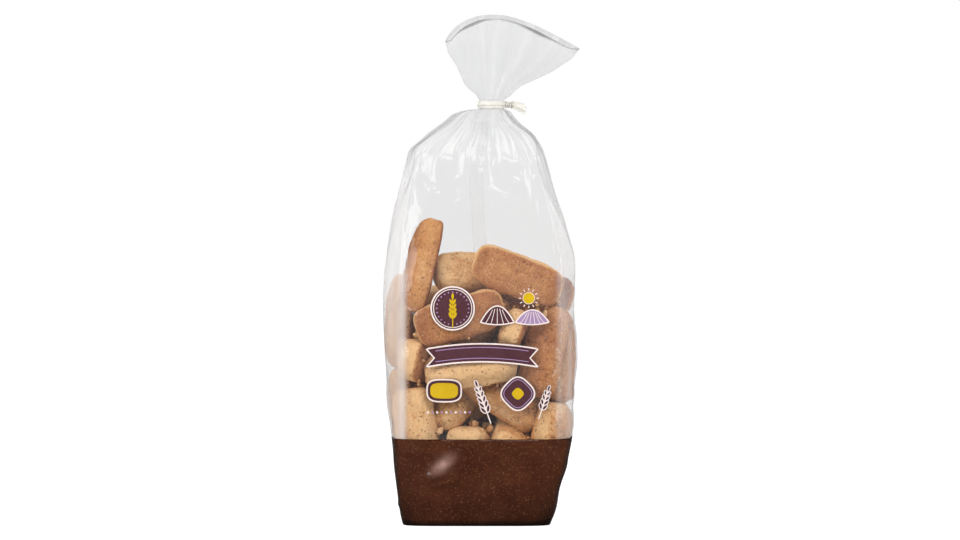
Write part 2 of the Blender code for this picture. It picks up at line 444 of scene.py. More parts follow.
@dataclass(frozen=True)
class Grain:
    """One kind of grain: how finely it lies, how large and how frequent it is, and how it tints."""

    scale: float
    size: float
    share: float
    strength: float
    tint: Colour

    def mask(self, graph: Graph, place: NodeSocket) -> NodeSocket:
        """Gives 1 inside the grains and 0 between them."""
        numbers = {"Scale": self.scale, "Size": self.size, "Share": self.share}
        return graph.effect(Effect.SPECKLE, place, **numbers)

    def tinted(self, graph: Graph, mask: NodeSocket, colour: NodeSocket) -> NodeSocket:
        """Gives a colour with the grains in it."""
        return graph.blend(graph.math("MULTIPLY", mask, self.strength), colour, self.tint)


@dataclass(frozen=True)
class BiscuitFinish:
    """Sandy wholemeal shortbread: pale sides, a browned base and crown, and flecks of bran."""

    pale: Colour = srgb(232, 187, 134)
    browning: tuple[tuple[float, float, Colour], ...] = (
        (0.0, 0.55, srgb(208, 148, 91)),
        (0.5, 1.1, srgb(175, 112, 68)),
        (1.05, 1.8, srgb(134, 78, 48)),
    )
    flour: Grain = Grain(0.7, 0.36, 0.25, 0.35, srgb(246, 218, 180))
    dust: Grain = Grain(1.0, 0.34, 0.3, 0.4, srgb(96, 56, 32))
    bran: Grain = Grain(0.42, 0.34, 0.34, 0.62, srgb(96, 56, 32))
    pore_shade: float = -0.22
    cloud_bake: float = 0.7
    fine_bake: float = 0.5
    sand_shade: float = 0.34
    sand_relief: float = 0.35
    fine_relief: float = 0.6
    hollow_relief: float = -0.35
    roughness: float = 0.68
    fine_roughness: float = 0.2

    def build(self) -> Material:
        """Makes the material.

        Returns:
            The material.
        """
        graph, material = start_material("shortbread")
        grain = graph.read("grain").outputs["Vector"]
        clouds = graph.effect(Effect.MOTTLE, grain, Scale=0.09, Contrast=1.6)
        fine = graph.effect(Effect.MOTTLE, grain, Scale=0.6, Contrast=1.8)
        sand = graph.effect(Effect.MOTTLE, grain, Scale=1.7, Contrast=2.4)
        baked = graph.read("bake").outputs["Fac"]
        for cloud, amount in ((clouds, self.cloud_bake), (fine, self.fine_bake)):
            swing = graph.math("MULTIPLY", graph.math("SUBTRACT", cloud, 0.5), amount)
            baked = graph.math("ADD", baked, swing)
        # the biscuit's tone, which for some seen biscuits holds painted shade and painted light
        baked = graph.math("ADD", baked, graph.read("tone").outputs["Fac"])
        colour = self.pale
        for low, high, tint in self.browning:
            colour = graph.blend(graph.ramp(baked, low, high), colour, tint)
        bran = self.bran.mask(graph, grain)
        pores = graph.effect(Effect.SPECKLE, grain, Scale=0.75, Size=0.3, Share=0.45)
        colour = self.flour.tinted(graph, self.flour.mask(graph, grain), colour)
        colour = self.dust.tinted(graph, self.dust.mask(graph, grain), colour)
        colour = self.bran.tinted(graph, bran, colour)
        shade = graph.math("MULTIPLY_ADD", graph.math("SUBTRACT", sand, 0.5), self.sand_shade, 1.0)
        shade = graph.math("MULTIPLY_ADD", pores, self.pore_shade, shade)
        colour = graph.blend(1.0, colour, shade, mode="MULTIPLY")
        relief = graph.math("MULTIPLY", fine, self.fine_relief)
        relief = graph.math("MULTIPLY_ADD", sand, self.sand_relief, relief)
        hollows = graph.math("MAXIMUM", bran, pores)
        relief = graph.math("MULTIPLY_ADD", hollows, self.hollow_relief, relief)
        rough = graph.math("MULTIPLY_ADD", fine, self.fine_roughness, self.roughness)
        inputs = {
            "Base Color": colour,
            "Roughness": rough,
            "Specular IOR Level": 0.3,
            "Normal": graph.bump(relief, strength=0.8, distance=0.0005),
        }
        graph.show(graph.add("ShaderNodeBsdfPrincipled", inputs))
        return material


@dataclass(frozen=True)
class FilmFinish:
    """Clear glossy film that dims what is behind it, most where it is gathered, and mirrors."""

    clear: Colour = (0.915, 0.916, 0.917, 1.0)
    gathered: Colour = (0.865, 0.866, 0.868, 1.0)
    mirror: Colour = (0.96, 0.96, 0.96, 1.0)
    veil: Colour = (0.78, 0.78, 0.785, 1.0)
    edge: Colour = (0.26, 0.26, 0.27, 1.0)
    straight_mirror: float = 0.029
    slant_mirror: float = 0.36
    mirror_power: float = 4.0
    dulled: float = 0.75
    slant_clearing: float = 0.92
    clearing_power: float = 1.6
    gathered_power: float = 2.4
    gloss_roughness: float = 0.11
    edge_cover: float = 3.0

    def build(self) -> Material:
        """Makes the material.

        Returns:
            The material.
        """
        graph, material = start_material("clear_film")
        bump = film_crinkle(graph, graph.place())
        weight = graph.add("ShaderNodeLayerWeight", {"Blend": 0.5, "Normal": bump})
        facing = weight.outputs["Facing"]
        bunched = graph.read("gathered").outputs["Fac"]
        slant = graph.math("POWER", facing, self.mirror_power)
        mirrored = graph.math("MULTIPLY_ADD", slant, self.slant_mirror, self.straight_mirror)
        duller = graph.math("MULTIPLY_ADD", bunched, -self.dulled, 1.0)
        mirrored = graph.math("MULTIPLY", mirrored, duller)
        power = graph.math("MULTIPLY_ADD", bunched, self.gathered_power, self.clearing_power)
        clearer = graph.math("MULTIPLY", graph.math("POWER", facing, power), self.slant_clearing)
        passing = graph.blend(clearer, graph.blend(bunched, self.clear, self.gathered), WHITE)
        through = graph.add("ShaderNodeBsdfTransparent", {"Color": passing})
        shine = {"Color": self.mirror, "Roughness": self.gloss_roughness, "Normal": bump}
        gloss = graph.add("ShaderNodeBsdfGlossy", shine)
        layers = {0: mirrored, 1: through.outputs[0], 2: gloss.outputs[0]}
        sheet = graph.add("ShaderNodeMixShader", layers)
        edge = graph.read("edge").outputs["Fac"]
        # the milky layer: real milkiness of the film, and the painted sheen of its side strips
        haze = graph.math("ADD", graph.read("haze").outputs["Fac"], edge, clamp=True)
        cover = graph.math("MULTIPLY", edge, self.edge_cover, clamp=True)
        milk = {
            "Base Color": graph.blend(cover, self.veil, self.edge),
            "Roughness": 0.3,
            "Specular IOR Level": 0.35,
            "Normal": bump,
        }
        body = graph.add("ShaderNodeBsdfPrincipled", milk)
        film = graph.add("ShaderNodeMixShader", {0: haze, 1: sheet.outputs[0], 2: body.outputs[0]})
        graph.show(film)
        return material


@dataclass(frozen=True)
class FootFinish:
    """Opaque brown print inside glossy film: speckled, with painted shade at its edges and bottom,
    and a painted glare on a crease.
    """

    dark: Colour = srgb(58, 28, 16)
    warm: Colour = srgb(80, 42, 24)
    grains: tuple[Grain, ...] = (
        Grain(330.0, 0.44, 0.5, 0.45, srgb(58, 28, 16)),
        Grain(700.0, 0.42, 0.5, 0.34, srgb(122, 78, 48)),
        Grain(520.0, 0.34, 0.22, 0.28, srgb(134, 97, 62)),
    )
    # painted shade: the near-black colour laid along the foot's side folds, bottom edge and bottom
    # corners
    deep: Colour = srgb(26, 15, 11)
    # painted glare: the pale colour of a patch on a crease of the foot, standing in for a highlight
    glare_colour: Colour = srgb(172, 136, 124)
    glare_least: float = 0.6
    glare_grit: float = 0.5
    roughness: float = 0.14
    cloud_roughness: float = 0.06

    def build(self) -> Material:
        """Makes the material.

        Returns:
            The material.
        """
        graph, material = start_material("speckled_foot")
        place = graph.place()
        clouds = graph.effect(Effect.MOTTLE, place, Scale=60.0, Contrast=1.8)
        colour = graph.blend(clouds, self.dark, self.warm)
        for grain in self.grains:
            colour = grain.tinted(graph, grain.mask(graph, place), colour)
        # painted shade along the side folds, the bottom edge and the bottom corners
        colour = graph.blend(graph.read("deep").outputs["Fac"], colour, self.deep)
        # painted glare: a pale patch on the crease, broken up by grit, standing in for a highlight
        grit = graph.effect(Effect.MOTTLE, place, Scale=420.0, Contrast=2.2)
        wear_and_glare = graph.math("MULTIPLY_ADD", grit, self.glare_grit, self.glare_least)
        scuff = graph.math("MULTIPLY", graph.read("scuff").outputs["Fac"], wear_and_glare)
        inputs = {
            "Base Color": graph.blend(scuff, colour, self.glare_colour),
            "Roughness": graph.math("MULTIPLY_ADD", clouds, self.cloud_roughness, self.roughness),
            "Specular IOR Level": 0.4,
            "Normal": film_crinkle(graph, place),
        }
        graph.show(graph.add("ShaderNodeBsdfPrincipled", inputs))
        return material


@dataclass(frozen=True)
class InkFinish:
    """One printed ink on the glossy film, a little uneven where the film creases."""

    name: str
    colour: Colour
    wear_and_glare: Colour
    wear: float = 0.4

    def build(self) -> Material:
        """Makes the material.

        Returns:
            The material.
        """
        graph, material = start_material(self.name)
        place = graph.place()
        clouds = graph.effect(Effect.MOTTLE, place, Scale=300.0, Contrast=2.0)
        wear = graph.math("MULTIPLY", clouds, self.wear)
        inputs = {
            "Base Color": graph.blend(wear, self.colour, self.wear_and_glare),
            "Roughness": 0.16,
            "Specular IOR Level": 0.5,
            "Normal": film_crinkle(graph, place),
        }
        graph.show(graph.add("ShaderNodeBsdfPrincipled", inputs))
        return material


@dataclass(frozen=True)
class TieFinish:
    """Cream plastic strip, satin, a little greyer where it was bent."""

    cream: Colour = srgb(224, 221, 213)
    bent: Colour = srgb(196, 193, 184)
    wear: float = 0.7

    def build(self) -> Material:
        """Makes the material.

        Returns:
            The material.
        """
        graph, material = start_material("cream_strip")
        clouds = graph.effect(Effect.MOTTLE, graph.place(), Scale=400.0, Contrast=2.2)
        wear = graph.math("MULTIPLY", clouds, self.wear)
        inputs = {
            "Base Color": graph.blend(wear, self.cream, self.bent),
            "Roughness": 0.42,
            "Normal": graph.bump(clouds, strength=0.3, distance=0.0003),
        }
        graph.show(graph.add("ShaderNodeBsdfPrincipled", inputs))
        return material


@dataclass(frozen=True)
class FloorFinish:
    """A plain white studio floor, lit so well that only a close shadow shows on it."""

    bounce: float = 0.8
    held_back: float = 0.5
    lift: float = 0.86

    def build(self) -> Material:
        """Makes the material.

        Returns:
            The material.
        """
        graph, material = start_material("studio_floor")
        path = graph.add("ShaderNodeLightPath")
        seen = path.outputs["Is Camera Ray"]
        tone = graph.math("MULTIPLY_ADD", seen, -self.held_back, self.bounce)
        glossy = path.outputs["Is Glossy Ray"]
        tone = graph.math("MULTIPLY_ADD", glossy, -self.bounce, tone, clamp=True)
        inputs = {
            "Base Color": tone,
            "Roughness": 0.9,
            "Emission Color": WHITE,
            "Emission Strength": graph.math("MULTIPLY", seen, self.lift),
        }
        graph.show(graph.add("ShaderNodeBsdfPrincipled", inputs))
        return material


# ---- the bag's form


@dataclass(frozen=True)
class Station:
    """One level of the filled bag. boxiness is the section's exponent: 2 is an ellipse."""

    height: float
    left: float
    right: float
    half_depth: float
    boxiness: float


@dataclass(frozen=True)
class BagForm:
    """The bag's outer form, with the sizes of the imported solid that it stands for."""

    stations: tuple[Station, ...] = (
        Station(0.0, -49.4, 46.2, 29.5, 5.5),
        Station(1.6, -50.0, 46.8, 30.4, 5.5),
        Station(8.0, -51.4, 49.4, 32.0, 5.2),
        Station(22.0, -53.4, 52.0, 34.4, 4.8),
        Station(38.0, -55.4, 57.2, 36.2, 4.6),
        Station(46.0, -56.2, 58.8, 37.0, 4.4),
        Station(75.0, -59.0, 63.0, 38.4, 4.2),
        Station(110.0, -63.6, 63.4, 39.2, 4.0),
        Station(145.0, -64.8, 64.2, 38.6, 3.8),
        Station(170.0, -63.4, 65.2, 36.6, 3.5),
        Station(195.0, -60.4, 59.4, 33.0, 3.2),
        Station(220.0, -55.4, 52.2, 27.8, 3.0),
        Station(242.0, -49.6, 45.4, 21.8, 2.8),
        Station(252.0, -36.8, 38.0, 17.4, 2.5),
        Station(262.0, -21.4, 24.6, 12.8, 2.2),
        Station(266.0, -17.2, 21.4, 11.0, 2.1),
        Station(268.6, -12.0, 19.4, 9.2, 2.1),
        Station(269.9, -5.4, 17.6, 7.6, 2.1),
    )
    gusset_from: float = 160.0
    gusset_deepest: float = 232.0
    gusset_to: float = 262.0
    gusset_depth: float = 11.0
    gusset_reach: float = 0.6
    neck_centre: float = 8.0
    neck_bottom: float = 270.2
    neck_top: float = 275.8
    neck_half_width: float = 7.6
    neck_half_depth: float = 6.2
    pleats: int = 15
    pleats_from: float = 196.0
    pleat_drift: tuple[Triple, ...] = ((0.55, 3.0, 0.7), (0.4, 5.0, 2.1))
    pleat_shoulder: float = 1.7
    pleat_neck: float = 0.45
    pleat_rim: float = 0.1
    neck_tuck: float = 0.93
    fan_right_angle: float = math.radians(30.5)
    fan_left_angle: float = math.radians(127.5)
    fan_right: float = 67.0
    fan_crest: float = 56.8
    fan_left: float = 49.4
    fan_half_depth: float = 12.5
    fan_tip_half_depth: float = 1.6
    fan_front_drop: float = 3.8
    fan_side_shares: tuple[float, ...] = (0.0, 0.1, 0.19, 0.28, 0.43, 0.57, 0.68, 0.81, 1.0)
    fan_side_left: tuple[float, ...] = (0.0, 0.1, 0.3, 0.44, 0.56, 0.67, 0.79, 0.93, 1.0)
    fan_side_right: tuple[float, ...] = (0.0, 0.1, 0.16, 0.24, 0.46, 0.66, 0.77, 0.9, 1.0)

    def measures(self, heights: Array) -> tuple[Array, Array, Array, Array]:
        """Reads the section at any heights.

        Args:
            heights: in millimetres above the base.

        Returns:
            The section's centre, half width, half depth and boxiness at each height.
        """
        knots = np.array([station.height for station in self.stations])

        def curve(name: str) -> Array:
            """Reads one measure of the stations at the heights."""
            values = np.array([getattr(station, name) for station in self.stations])
            return through_knots(knots, values, heights)

        left, right = curve("left"), curve("right")
        return 0.5 * (left + right), 0.5 * (right - left), curve("half_depth"), curve("boxiness")

    def pleat_wave(self, angles: Array) -> Array:
        """Gives the pleats round the bag.

        Args:
            angles: round the bag, 0 at +X and a quarter turn at +Y.

        Returns:
            From -1 in a pleat's hollow to 1 on its crest.
        """
        drift = sum(size * np.sin(turns * angles + off) for size, turns, off in self.pleat_drift)
        wave = np.sin(self.pleats * angles + drift)
        return 0.8 * wave + 0.2 * np.cos(2.0 * (self.pleats * angles + drift))

    def body(self, heights: Array, angles: Array) -> Array:
        """Gives the film below the neck.

        Args:
            heights: one for each row.
            angles: one for each column.

        Returns:
            A grid of points, rows by columns.
        """
        centre, half_width, depth, boxiness = (item[:, None] for item in self.measures(heights))
        along, across = np.cos(angles)[None], np.sin(angles)[None]
        reach = (np.abs(along) ** boxiness + np.abs(across) ** boxiness) ** (-1.0 / boxiness)
        along, across = along * reach, across * reach
        top = self.stations[-1].height
        level = heights[:, None]
        gathered = ease((level - self.pleats_from) / (top - self.pleats_from))
        relief = self.pleat_shoulder * gathered * self.pleat_wave(angles)[None]
        opening = ease((level - self.gusset_from) / (self.gusset_deepest - self.gusset_from))
        closing = ease((self.gusset_to - level) / (self.gusset_to - self.gusset_deepest))
        middle = np.clip(1.0 - np.abs(across) / self.gusset_reach, 0.0, 1.0)
        fold = self.gusset_depth * opening * closing * middle
        x = centre + along * (half_width + relief) - np.sign(along) * fold
        y = across * (depth + relief)
        return np.stack([x, y, np.broadcast_to(level, x.shape)], axis=-1)

    def neck(self, heights: Array, angles: Array) -> Array:
        """Gives the gathered film inside the tie, as body does. Its pleats meet in the middle."""
        wave = self.pleat_wave(angles)[None]
        share = (heights - self.neck_bottom) / (self.neck_top - self.neck_bottom)
        bunched = np.sin(np.clip(share, 0.0, 1.0) * math.pi)[:, None]
        tucked = 1.0 - self.neck_tuck * bunched * ease(0.55 - 0.75 * wave)
        swell = self.pleat_neck * wave
        x = self.neck_centre + np.cos(angles)[None] * (self.neck_half_width + swell) * tucked
        y = np.sin(angles)[None] * (self.neck_half_depth + swell) * tucked
        return np.stack(np.broadcast_arrays(x, y, heights[:, None]), axis=-1)

    def rim(self, angles: Array) -> Array:
        """Gives the cut edge of the fan.

        Args:
            angles: one for each column.

        Returns:
            One point for each column.
        """
        along = np.cos(angles)
        middle = 0.5 * (self.fan_right_angle + self.fan_left_angle)
        slope = middle - along * 0.5 * (self.fan_left_angle - self.fan_right_angle)
        longer = (self.fan_right - self.fan_crest) * along**3
        shorter = (self.fan_crest - self.fan_left) * along**3
        reach = self.fan_crest + np.where(along > 0, longer, shorter)
        front = np.clip(-np.sin(angles), 0.0, 1.0)
        reach = reach - self.fan_front_drop * ease(front * 2.0)
        swell = self.fan_half_depth - self.fan_tip_half_depth
        depth = self.fan_tip_half_depth + swell * (1.0 - along**2)
        y = np.sin(angles) * depth * (1.0 + self.pleat_rim * self.pleat_wave(angles))
        x = self.neck_centre + np.cos(slope) * reach
        return np.stack([x, y, self.neck_top + np.sin(slope) * reach], axis=-1)

    def fan(self, shares: Array, angles: Array) -> Array:
        """Gives the fan of film above the neck.

        Args:
            shares: one for each row, 0 at the neck and 1 at the rim.
            angles: one for each column.

        Returns:
            A grid of points, rows by columns.
        """
        start = self.neck(np.array([self.neck_top]), angles)
        end = self.rim(angles)[None]
        leftness = ease(0.5 - 0.5 * np.cos(angles))[None]
        share = shares[:, None]
        knots = np.array(self.fan_side_shares)
        left = through_knots(knots, np.array(self.fan_side_left), share)
        right = through_knots(knots, np.array(self.fan_side_right), share)
        x = start[..., 0] + (end[..., 0] - start[..., 0]) * (right + (left - right) * leftness)
        y = start[..., 1] + (end[..., 1] - start[..., 1]) * share
        z = start[..., 2] + (end[..., 2] - start[..., 2]) * share
        return np.stack([x, y, z], axis=-1)


# ---- the biscuits


@dataclass(frozen=True)
class BiscuitForm:
    """An oblong shortbread: a rounded oblong from above, with a domed top over a flat base."""

    half_length: float = 30.5
    half_width: float = 13.5
    half_height: float = 8.6
    outline: float = 4.2
    crown: float = 2.5
    foot: float = 7.5
    steps: tuple[int, int, int] = (60, 28, 18)
    contact_steps: tuple[int, int, int] = (7, 4, 3)

    def size(self) -> Array:
        """Gives the three half sizes."""
        return np.array([self.half_length, self.half_width, self.half_height])

    def gauge(self, points: Array) -> tuple[Array, Array]:
        """Tells inside from outside.

        Args:
            points: in the biscuit's own frame, length along X and the dome up.

        Returns:
            A number below 1 inside and above 1 outside, and its slope at each point.
        """
        share = np.abs(points) / self.size() + 1e-6
        power = np.where(points[..., 2] > 0, self.crown, self.foot)
        flat = share[..., 0] ** self.outline + share[..., 1] ** self.outline
        gauge = (flat ** (power / self.outline) + share[..., 2] ** power) ** (1.0 / power)
        outer = gauge ** (1.0 - power)
        around = outer * flat ** (power / self.outline - 1.0)
        slope = np.stack(
            [
                around * share[..., 0] ** (self.outline - 1.0),
                around * share[..., 1] ** (self.outline - 1.0),
                outer * share[..., 2] ** (power - 1.0),
            ],
            axis=-1,
        )
        return gauge, slope * np.sign(points) / self.size()

    def shell(self, steps: tuple[int, int, int]) -> tuple[Array, Array]:
        """Makes the biscuit's surface, from the faces of a box drawn onto its form.

        Args:
            steps: how many faces along its length, width and height.

        Returns:
            The points in the biscuit's own frame, and the faces.
        """
        numbers: dict[tuple[int, int, int], int] = {}
        faces = []

        def number(key: tuple[int, int, int]) -> int:
            """Gives a lattice point of the box its number."""
            return numbers.setdefault(key, len(numbers))

        for axis in range(3):
            first, second = (axis + 1) % 3, (axis + 2) % 3
            for side in (0, steps[axis]):
                for i, j in np.ndindex(steps[first], steps[second]):
                    corners = []
                    for di, dj in ((0, 0), (1, 0), (1, 1), (0, 1)):
                        key = [0, 0, 0]
                        key[axis], key[first], key[second] = side, i + di, j + dj
                        corners.append(number(tuple(key)))
                    faces.append(corners if side else corners[::-1])
        lattice = np.array(list(numbers), dtype=float) / np.array(steps) * 2.0 - 1.0
        spread = np.sin(lattice * math.pi * 0.25) / math.sin(math.pi * 0.25)
        points = spread * self.size()
        return points / self.gauge(points)[0][:, None], np.array(faces)


@dataclass(frozen=True)
class Spot:
    """Where a biscuit lies: its centre, the ways its length and dome point, its grip and tone."""

    x: float
    y: float
    z: float
    length: Triple
    dome: Triple
    hold: float = 1.0
    tone: float = 0.0


# The seen biscuits' tones are partly their own colour and partly painted: the browner tones of the
# two at the right (x 39.5 and 55) are painted shade, and the paler tone of the low one at the left
# (x -37.5) is painted light.
FRONT_SPOTS = (
    Spot(-41.0, -21.0, 168.0, (0.31, 0.04, 0.95), (-0.97, -0.2, 0.2), hold=3.0, tone=0.44),
    Spot(-1.0, -10.0, 164.0, (0.92, 0.4, -0.03), (0.1, -0.9, 0.42), hold=2.0, tone=-0.3),
    Spot(25.0, -26.0, 161.5, (0.91, 0.14, -0.38), (-0.1, 0.97, 0.2), hold=4.0, tone=-0.16),
    Spot(-13.0, -27.0, 133.5, (0.98, 0.1, 0.1), (-0.1, 0.98, 0.15), tone=-0.12),
    Spot(-40.0, -6.0, 106.0, (0.12, 0.99, 0.0), (-0.97, 0.12, 0.2), tone=-0.25),
    Spot(-37.5, -22.0, 61.0, (-0.06, 0.05, 0.99), (-0.6, -0.8, 0.0), tone=-0.4),
    Spot(-8.0, -23.5, 102.0, (0.97, 0.1, 0.2), (-0.15, -0.6, 0.78), tone=-0.3),
    Spot(2.0, -13.0, 60.5, (0.3, 0.95, -0.1), (0.1, 0.05, 0.99), tone=-0.5),
    Spot(27.0, -10.0, 62.0, (-0.1, 0.98, 0.1), (0.5, 0.0, 0.86), tone=-0.1),
    Spot(44.5, -20.0, 52.0, (0.04, -0.05, 0.99), (0.8, -0.6, 0.0), tone=0.15),
    Spot(21.5, -8.0, 121.0, (0.05, 0.98, 0.1), (-0.85, 0.1, 0.5), tone=-0.2),
    Spot(39.5, -21.0, 110.0, (0.05, 0.12, 0.99), (-0.45, -0.88, 0.1), tone=0.5),
    Spot(55.0, -3.0, 109.0, (0.02, 0.12, 0.98), (0.99, -0.1, 0.0), tone=0.5),
    Spot(53.0, -3.0, 48.0, (0.03, -0.12, 0.99), (0.97, 0.2, 0.0), tone=0.0),
    Spot(-51.0, -1.0, 131.0, (0.02, -0.1, 0.99), (-0.99, -0.1, 0.0), hold=6.0, tone=0.1),
    Spot(-51.0, -3.0, 76.0, (-0.03, 0.14, 0.98), (-0.98, 0.1, 0.0), tone=-0.15),
    Spot(14.0, -20.0, 82.0, (0.75, -0.1, -0.64), (0.45, -0.5, 0.72), tone=0.25),
    Spot(-16.0, -9.0, 78.0, (0.5, 0.75, 0.42), (-0.2, -0.4, 0.88), tone=0.0),
)


HIDDEN_SPOTS = (
    Spot(-15.0, -14.5, 12.0, (1.0, 0.0, 0.0), (0.0, 0.0, 1.0)),
    Spot(-15.0, 14.0, 12.0, (1.0, 0.0, 0.0), (0.0, 0.0, 1.0)),
    Spot(32.0, 0.0, 12.0, (0.1, 1.0, 0.0), (0.0, 0.0, 1.0)),
    Spot(-16.0, 14.0, 31.0, (1.0, 0.0, 0.1), (0.0, 0.3, 1.0)),
    Spot(30.0, 4.0, 30.0, (0.2, 1.0, 0.1), (0.0, 0.0, 1.0)),
    Spot(-34.0, 24.0, 70.0, (-0.16, -0.11, 0.99), (0.06, 1.0, -0.18)),
    Spot(-5.0, 22.0, 63.0, (0.54, -0.11, 0.84), (0.13, 1.0, -0.28)),
    Spot(30.0, 22.0, 69.0, (1.0, 0.08, 0.09), (0.06, 1.0, 0.15)),
    Spot(25.0, 24.0, 95.0, (0.87, -0.13, -0.48), (0.05, 1.0, -0.08)),
    Spot(-26.0, 24.0, 102.0, (0.97, -0.1, 0.26), (-0.09, 1.0, -0.06)),
    Spot(38.0, 22.0, 126.0, (0.0, -0.09, 1.0), (-0.18, 1.0, 0.18)),
    Spot(5.0, 22.0, 125.0, (0.99, 0.04, -0.12), (0.16, 1.0, 0.23)),
    Spot(-38.0, 22.0, 141.0, (0.42, -0.04, 0.91), (0.11, 1.0, -0.26)),
    Spot(26.0, 24.0, 163.0, (0.97, 0.09, 0.22), (-0.19, 1.0, -0.28)),
    Spot(8.0, -1.0, 146.0, (1.0, 0.1, 0.3), (0.0, -0.6, 0.8)),
    Spot(6.0, 9.0, 72.0, (1.0, 0.0, 0.1), (0.0, 0.0, 1.0)),
    Spot(-24.0, 12.0, 152.0, (1.0, 0.0, 0.1), (0.0, 0.5, 1.0)),
)


@dataclass
class Heap:
    """The biscuits' places: the seen ones near where they lie, the rest filling the bag."""

    form: BagForm
    biscuit: BiscuitForm
    clearance: float = 1.1
    rounds: int = 420
    seed: int = 11
    loose_y: float = 2.0
    loose_z: float = 4.0
    loose_length: float = 0.22
    loose_dome: float = 0.25
    largest_step: float = 2.5
    largest_spin: float = 0.12
    push_gain: float = 1.1
    lever_share: float = 0.6
    sinking: float = 0.45
    first_hold: float = 0.3
    last_hold: float = 0.015
    depth_hold: float = 0.4
    strongest_pull: float = 0.5
    floor_gap: float = 2.5
    centres: Array = field(init=False)
    frames: Array = field(init=False)

    @staticmethod
    def frame_of(length: Array, dome: Array) -> Array:
        """Builds a biscuit's own axes.

        Args:
            length: the way its length points.
            dome: roughly the way its dome points.

        Returns:
            A 3 by 3 array whose columns are its length, width and dome.
        """
        first = unit(np.asarray(length, float))
        third = unit(np.asarray(dome, float) - np.dot(dome, first) * first)
        return np.stack([first, np.cross(third, first), third], axis=1)

    def lay_out(self) -> None:
        """Puts the front biscuits in their spots and the others loosely behind and below them."""
        draw = np.random.default_rng(self.seed)
        centres = [(spot.x, spot.y, spot.z) for spot in FRONT_SPOTS]
        frames = [self.frame_of(np.array(spot.length), np.array(spot.dome)) for spot in FRONT_SPOTS]
        for spot in HIDDEN_SPOTS:
            y = spot.y + draw.uniform(-self.loose_y, self.loose_y)
            centres.append((spot.x, y, spot.z + draw.uniform(-self.loose_z, self.loose_z)))
            length = np.array(spot.length) + draw.normal(0.0, self.loose_length, 3)
            side_up = draw.choice((-1.0, 1.0))
            dome = np.array(spot.dome) * side_up + draw.normal(0.0, self.loose_dome, 3)
            frames.append(self.frame_of(length, dome))
        self.centres, self.frames = np.array(centres), np.array(frames)

    def settle(self) -> None:
        """Pushes the biscuits out of each other and the film, bit by bit, while they settle."""
        self.lay_out()
        samples, _ = self.biscuit.shell(self.biscuit.contact_steps)
        count, seen = len(self.centres), len(FRONT_SPOTS)
        samples = np.repeat(samples[np.newaxis], count, 0)
        homes, home_frames = self.centres[:seen].copy(), self.frames[:seen].copy()
        grips = np.array([spot.hold for spot in FRONT_SPOTS])
        reach = 2.0 * self.biscuit.half_length
        lever = self.lever_share * self.biscuit.half_length
        for step in range(self.rounds):
            late = step / self.rounds
            points = self.centres[:, None] + np.einsum("nij,nsj->nsi", self.frames, samples)
            push, turn, weight = np.zeros((count, 3)), np.zeros((count, 3)), np.full(count, 1e-6)

            def apply(owner: Array, at: Array, move: Array) -> None:
                """Adds moves asked for at points to the biscuits that own them."""
                depth = np.linalg.norm(move, axis=-1)
                arm = at - self.centres[owner][:, None]
                np.add.at(push, owner, (move * depth[..., None]).sum(1))
                np.add.at(turn, owner, (np.cross(arm, move) * depth[..., None]).sum(1))
                np.add.at(weight, owner, depth.sum(1))

            apart = np.linalg.norm(self.centres[:, None] - self.centres[None], axis=-1)
            first, second = np.nonzero((apart < reach) & (apart > 0))
            offset = points[first] - self.centres[second][:, None]
            local = np.einsum("pji,psj->psi", self.frames[second], offset)
            gauge, slope = self.biscuit.gauge(local)
            steep = np.linalg.norm(slope, axis=-1)
            depth = np.clip((1.0 - gauge) / steep, 0.0, self.largest_step)
            way = np.einsum("pij,psj->psi", self.frames[second], slope / steep[..., None])
            move = way * depth[..., None] * 0.5
            apply(first, points[first], move)
            apply(second, points[first], -move)
            apply(np.arange(count), points, self.back_inside(points))
            shift = push / weight[:, None] * self.push_gain
            spin = turn / weight[:, None] / lever**2
            shift[:, 2] -= self.sinking * (1.0 - late) ** 2
            hold = self.first_hold * (1.0 - late) ** 2 + self.last_hold
            pull = hold * grips[:, None] * np.array([1.0, self.depth_hold, 1.0])
            pull = np.minimum(pull, self.strongest_pull)
            shift[:seen] += (homes - self.centres[:seen]) * pull
            lean = 0.5 * np.cross(self.frames[:seen], home_frames, axis=1).sum(axis=2)
            spin[:seen] += lean * pull[:, :1]
            self.centres += np.clip(shift, -self.largest_step, self.largest_step)
            spin = np.clip(spin, -self.largest_spin, self.largest_spin)
            self.frames = self.turned(self.frames, spin)
        worst = float(np.max((1.0 - gauge) / steep))
        LOG.info("heap of %d biscuits, deepest overlap %.2f mm", count, worst)

    def back_inside(self, points: Array) -> Array:
        """Works out the way back into the bag.

        Args:
            points: anywhere.

        Returns:
            For each point the move that brings it inside the film, or none.
        """
        centre, half_width, depth, boxiness = self.form.measures(points[..., 2])
        wide, deep = half_width - self.clearance, depth - self.clearance
        x, y = points[..., 0] - centre, points[..., 1]
        share_x, share_y = np.abs(x) / wide + 1e-6, np.abs(y) / deep + 1e-6
        gauge = (share_x**boxiness + share_y**boxiness) ** (1.0 / boxiness)
        slope_x = (share_x / gauge) ** (boxiness - 1.0) * np.sign(x) / wide
        slope_y = (share_y / gauge) ** (boxiness - 1.0) * np.sign(y) / deep
        steep = np.hypot(slope_x, slope_y)
        out = np.clip((gauge - 1.0) / steep, 0.0, 2.0 * self.largest_step)
        lift = np.clip(self.floor_gap - points[..., 2], 0.0, 2.0 * self.largest_step)
        return np.stack([-out * slope_x / steep, -out * slope_y / steep, lift], axis=-1)

    @staticmethod
    def turned(frames: Array, spins: Array) -> Array:
        """Turns frames by small rotations.

        Args:
            frames: one 3 by 3 array for each biscuit.
            spins: one rotation vector for each, in radians.

        Returns:
            The turned frames, with their axes still square to each other.
        """
        moved = frames + np.cross(spins[:, :, None], frames, axis=1)
        left, _, right = np.linalg.svd(moved)
        return left @ right


@dataclass
class Biscuit:
    """One biscuit: its points, the same without crumb, where its grain lies, and its bake."""

    points: Array
    smooth: Array
    grain: Array
    bake: Array


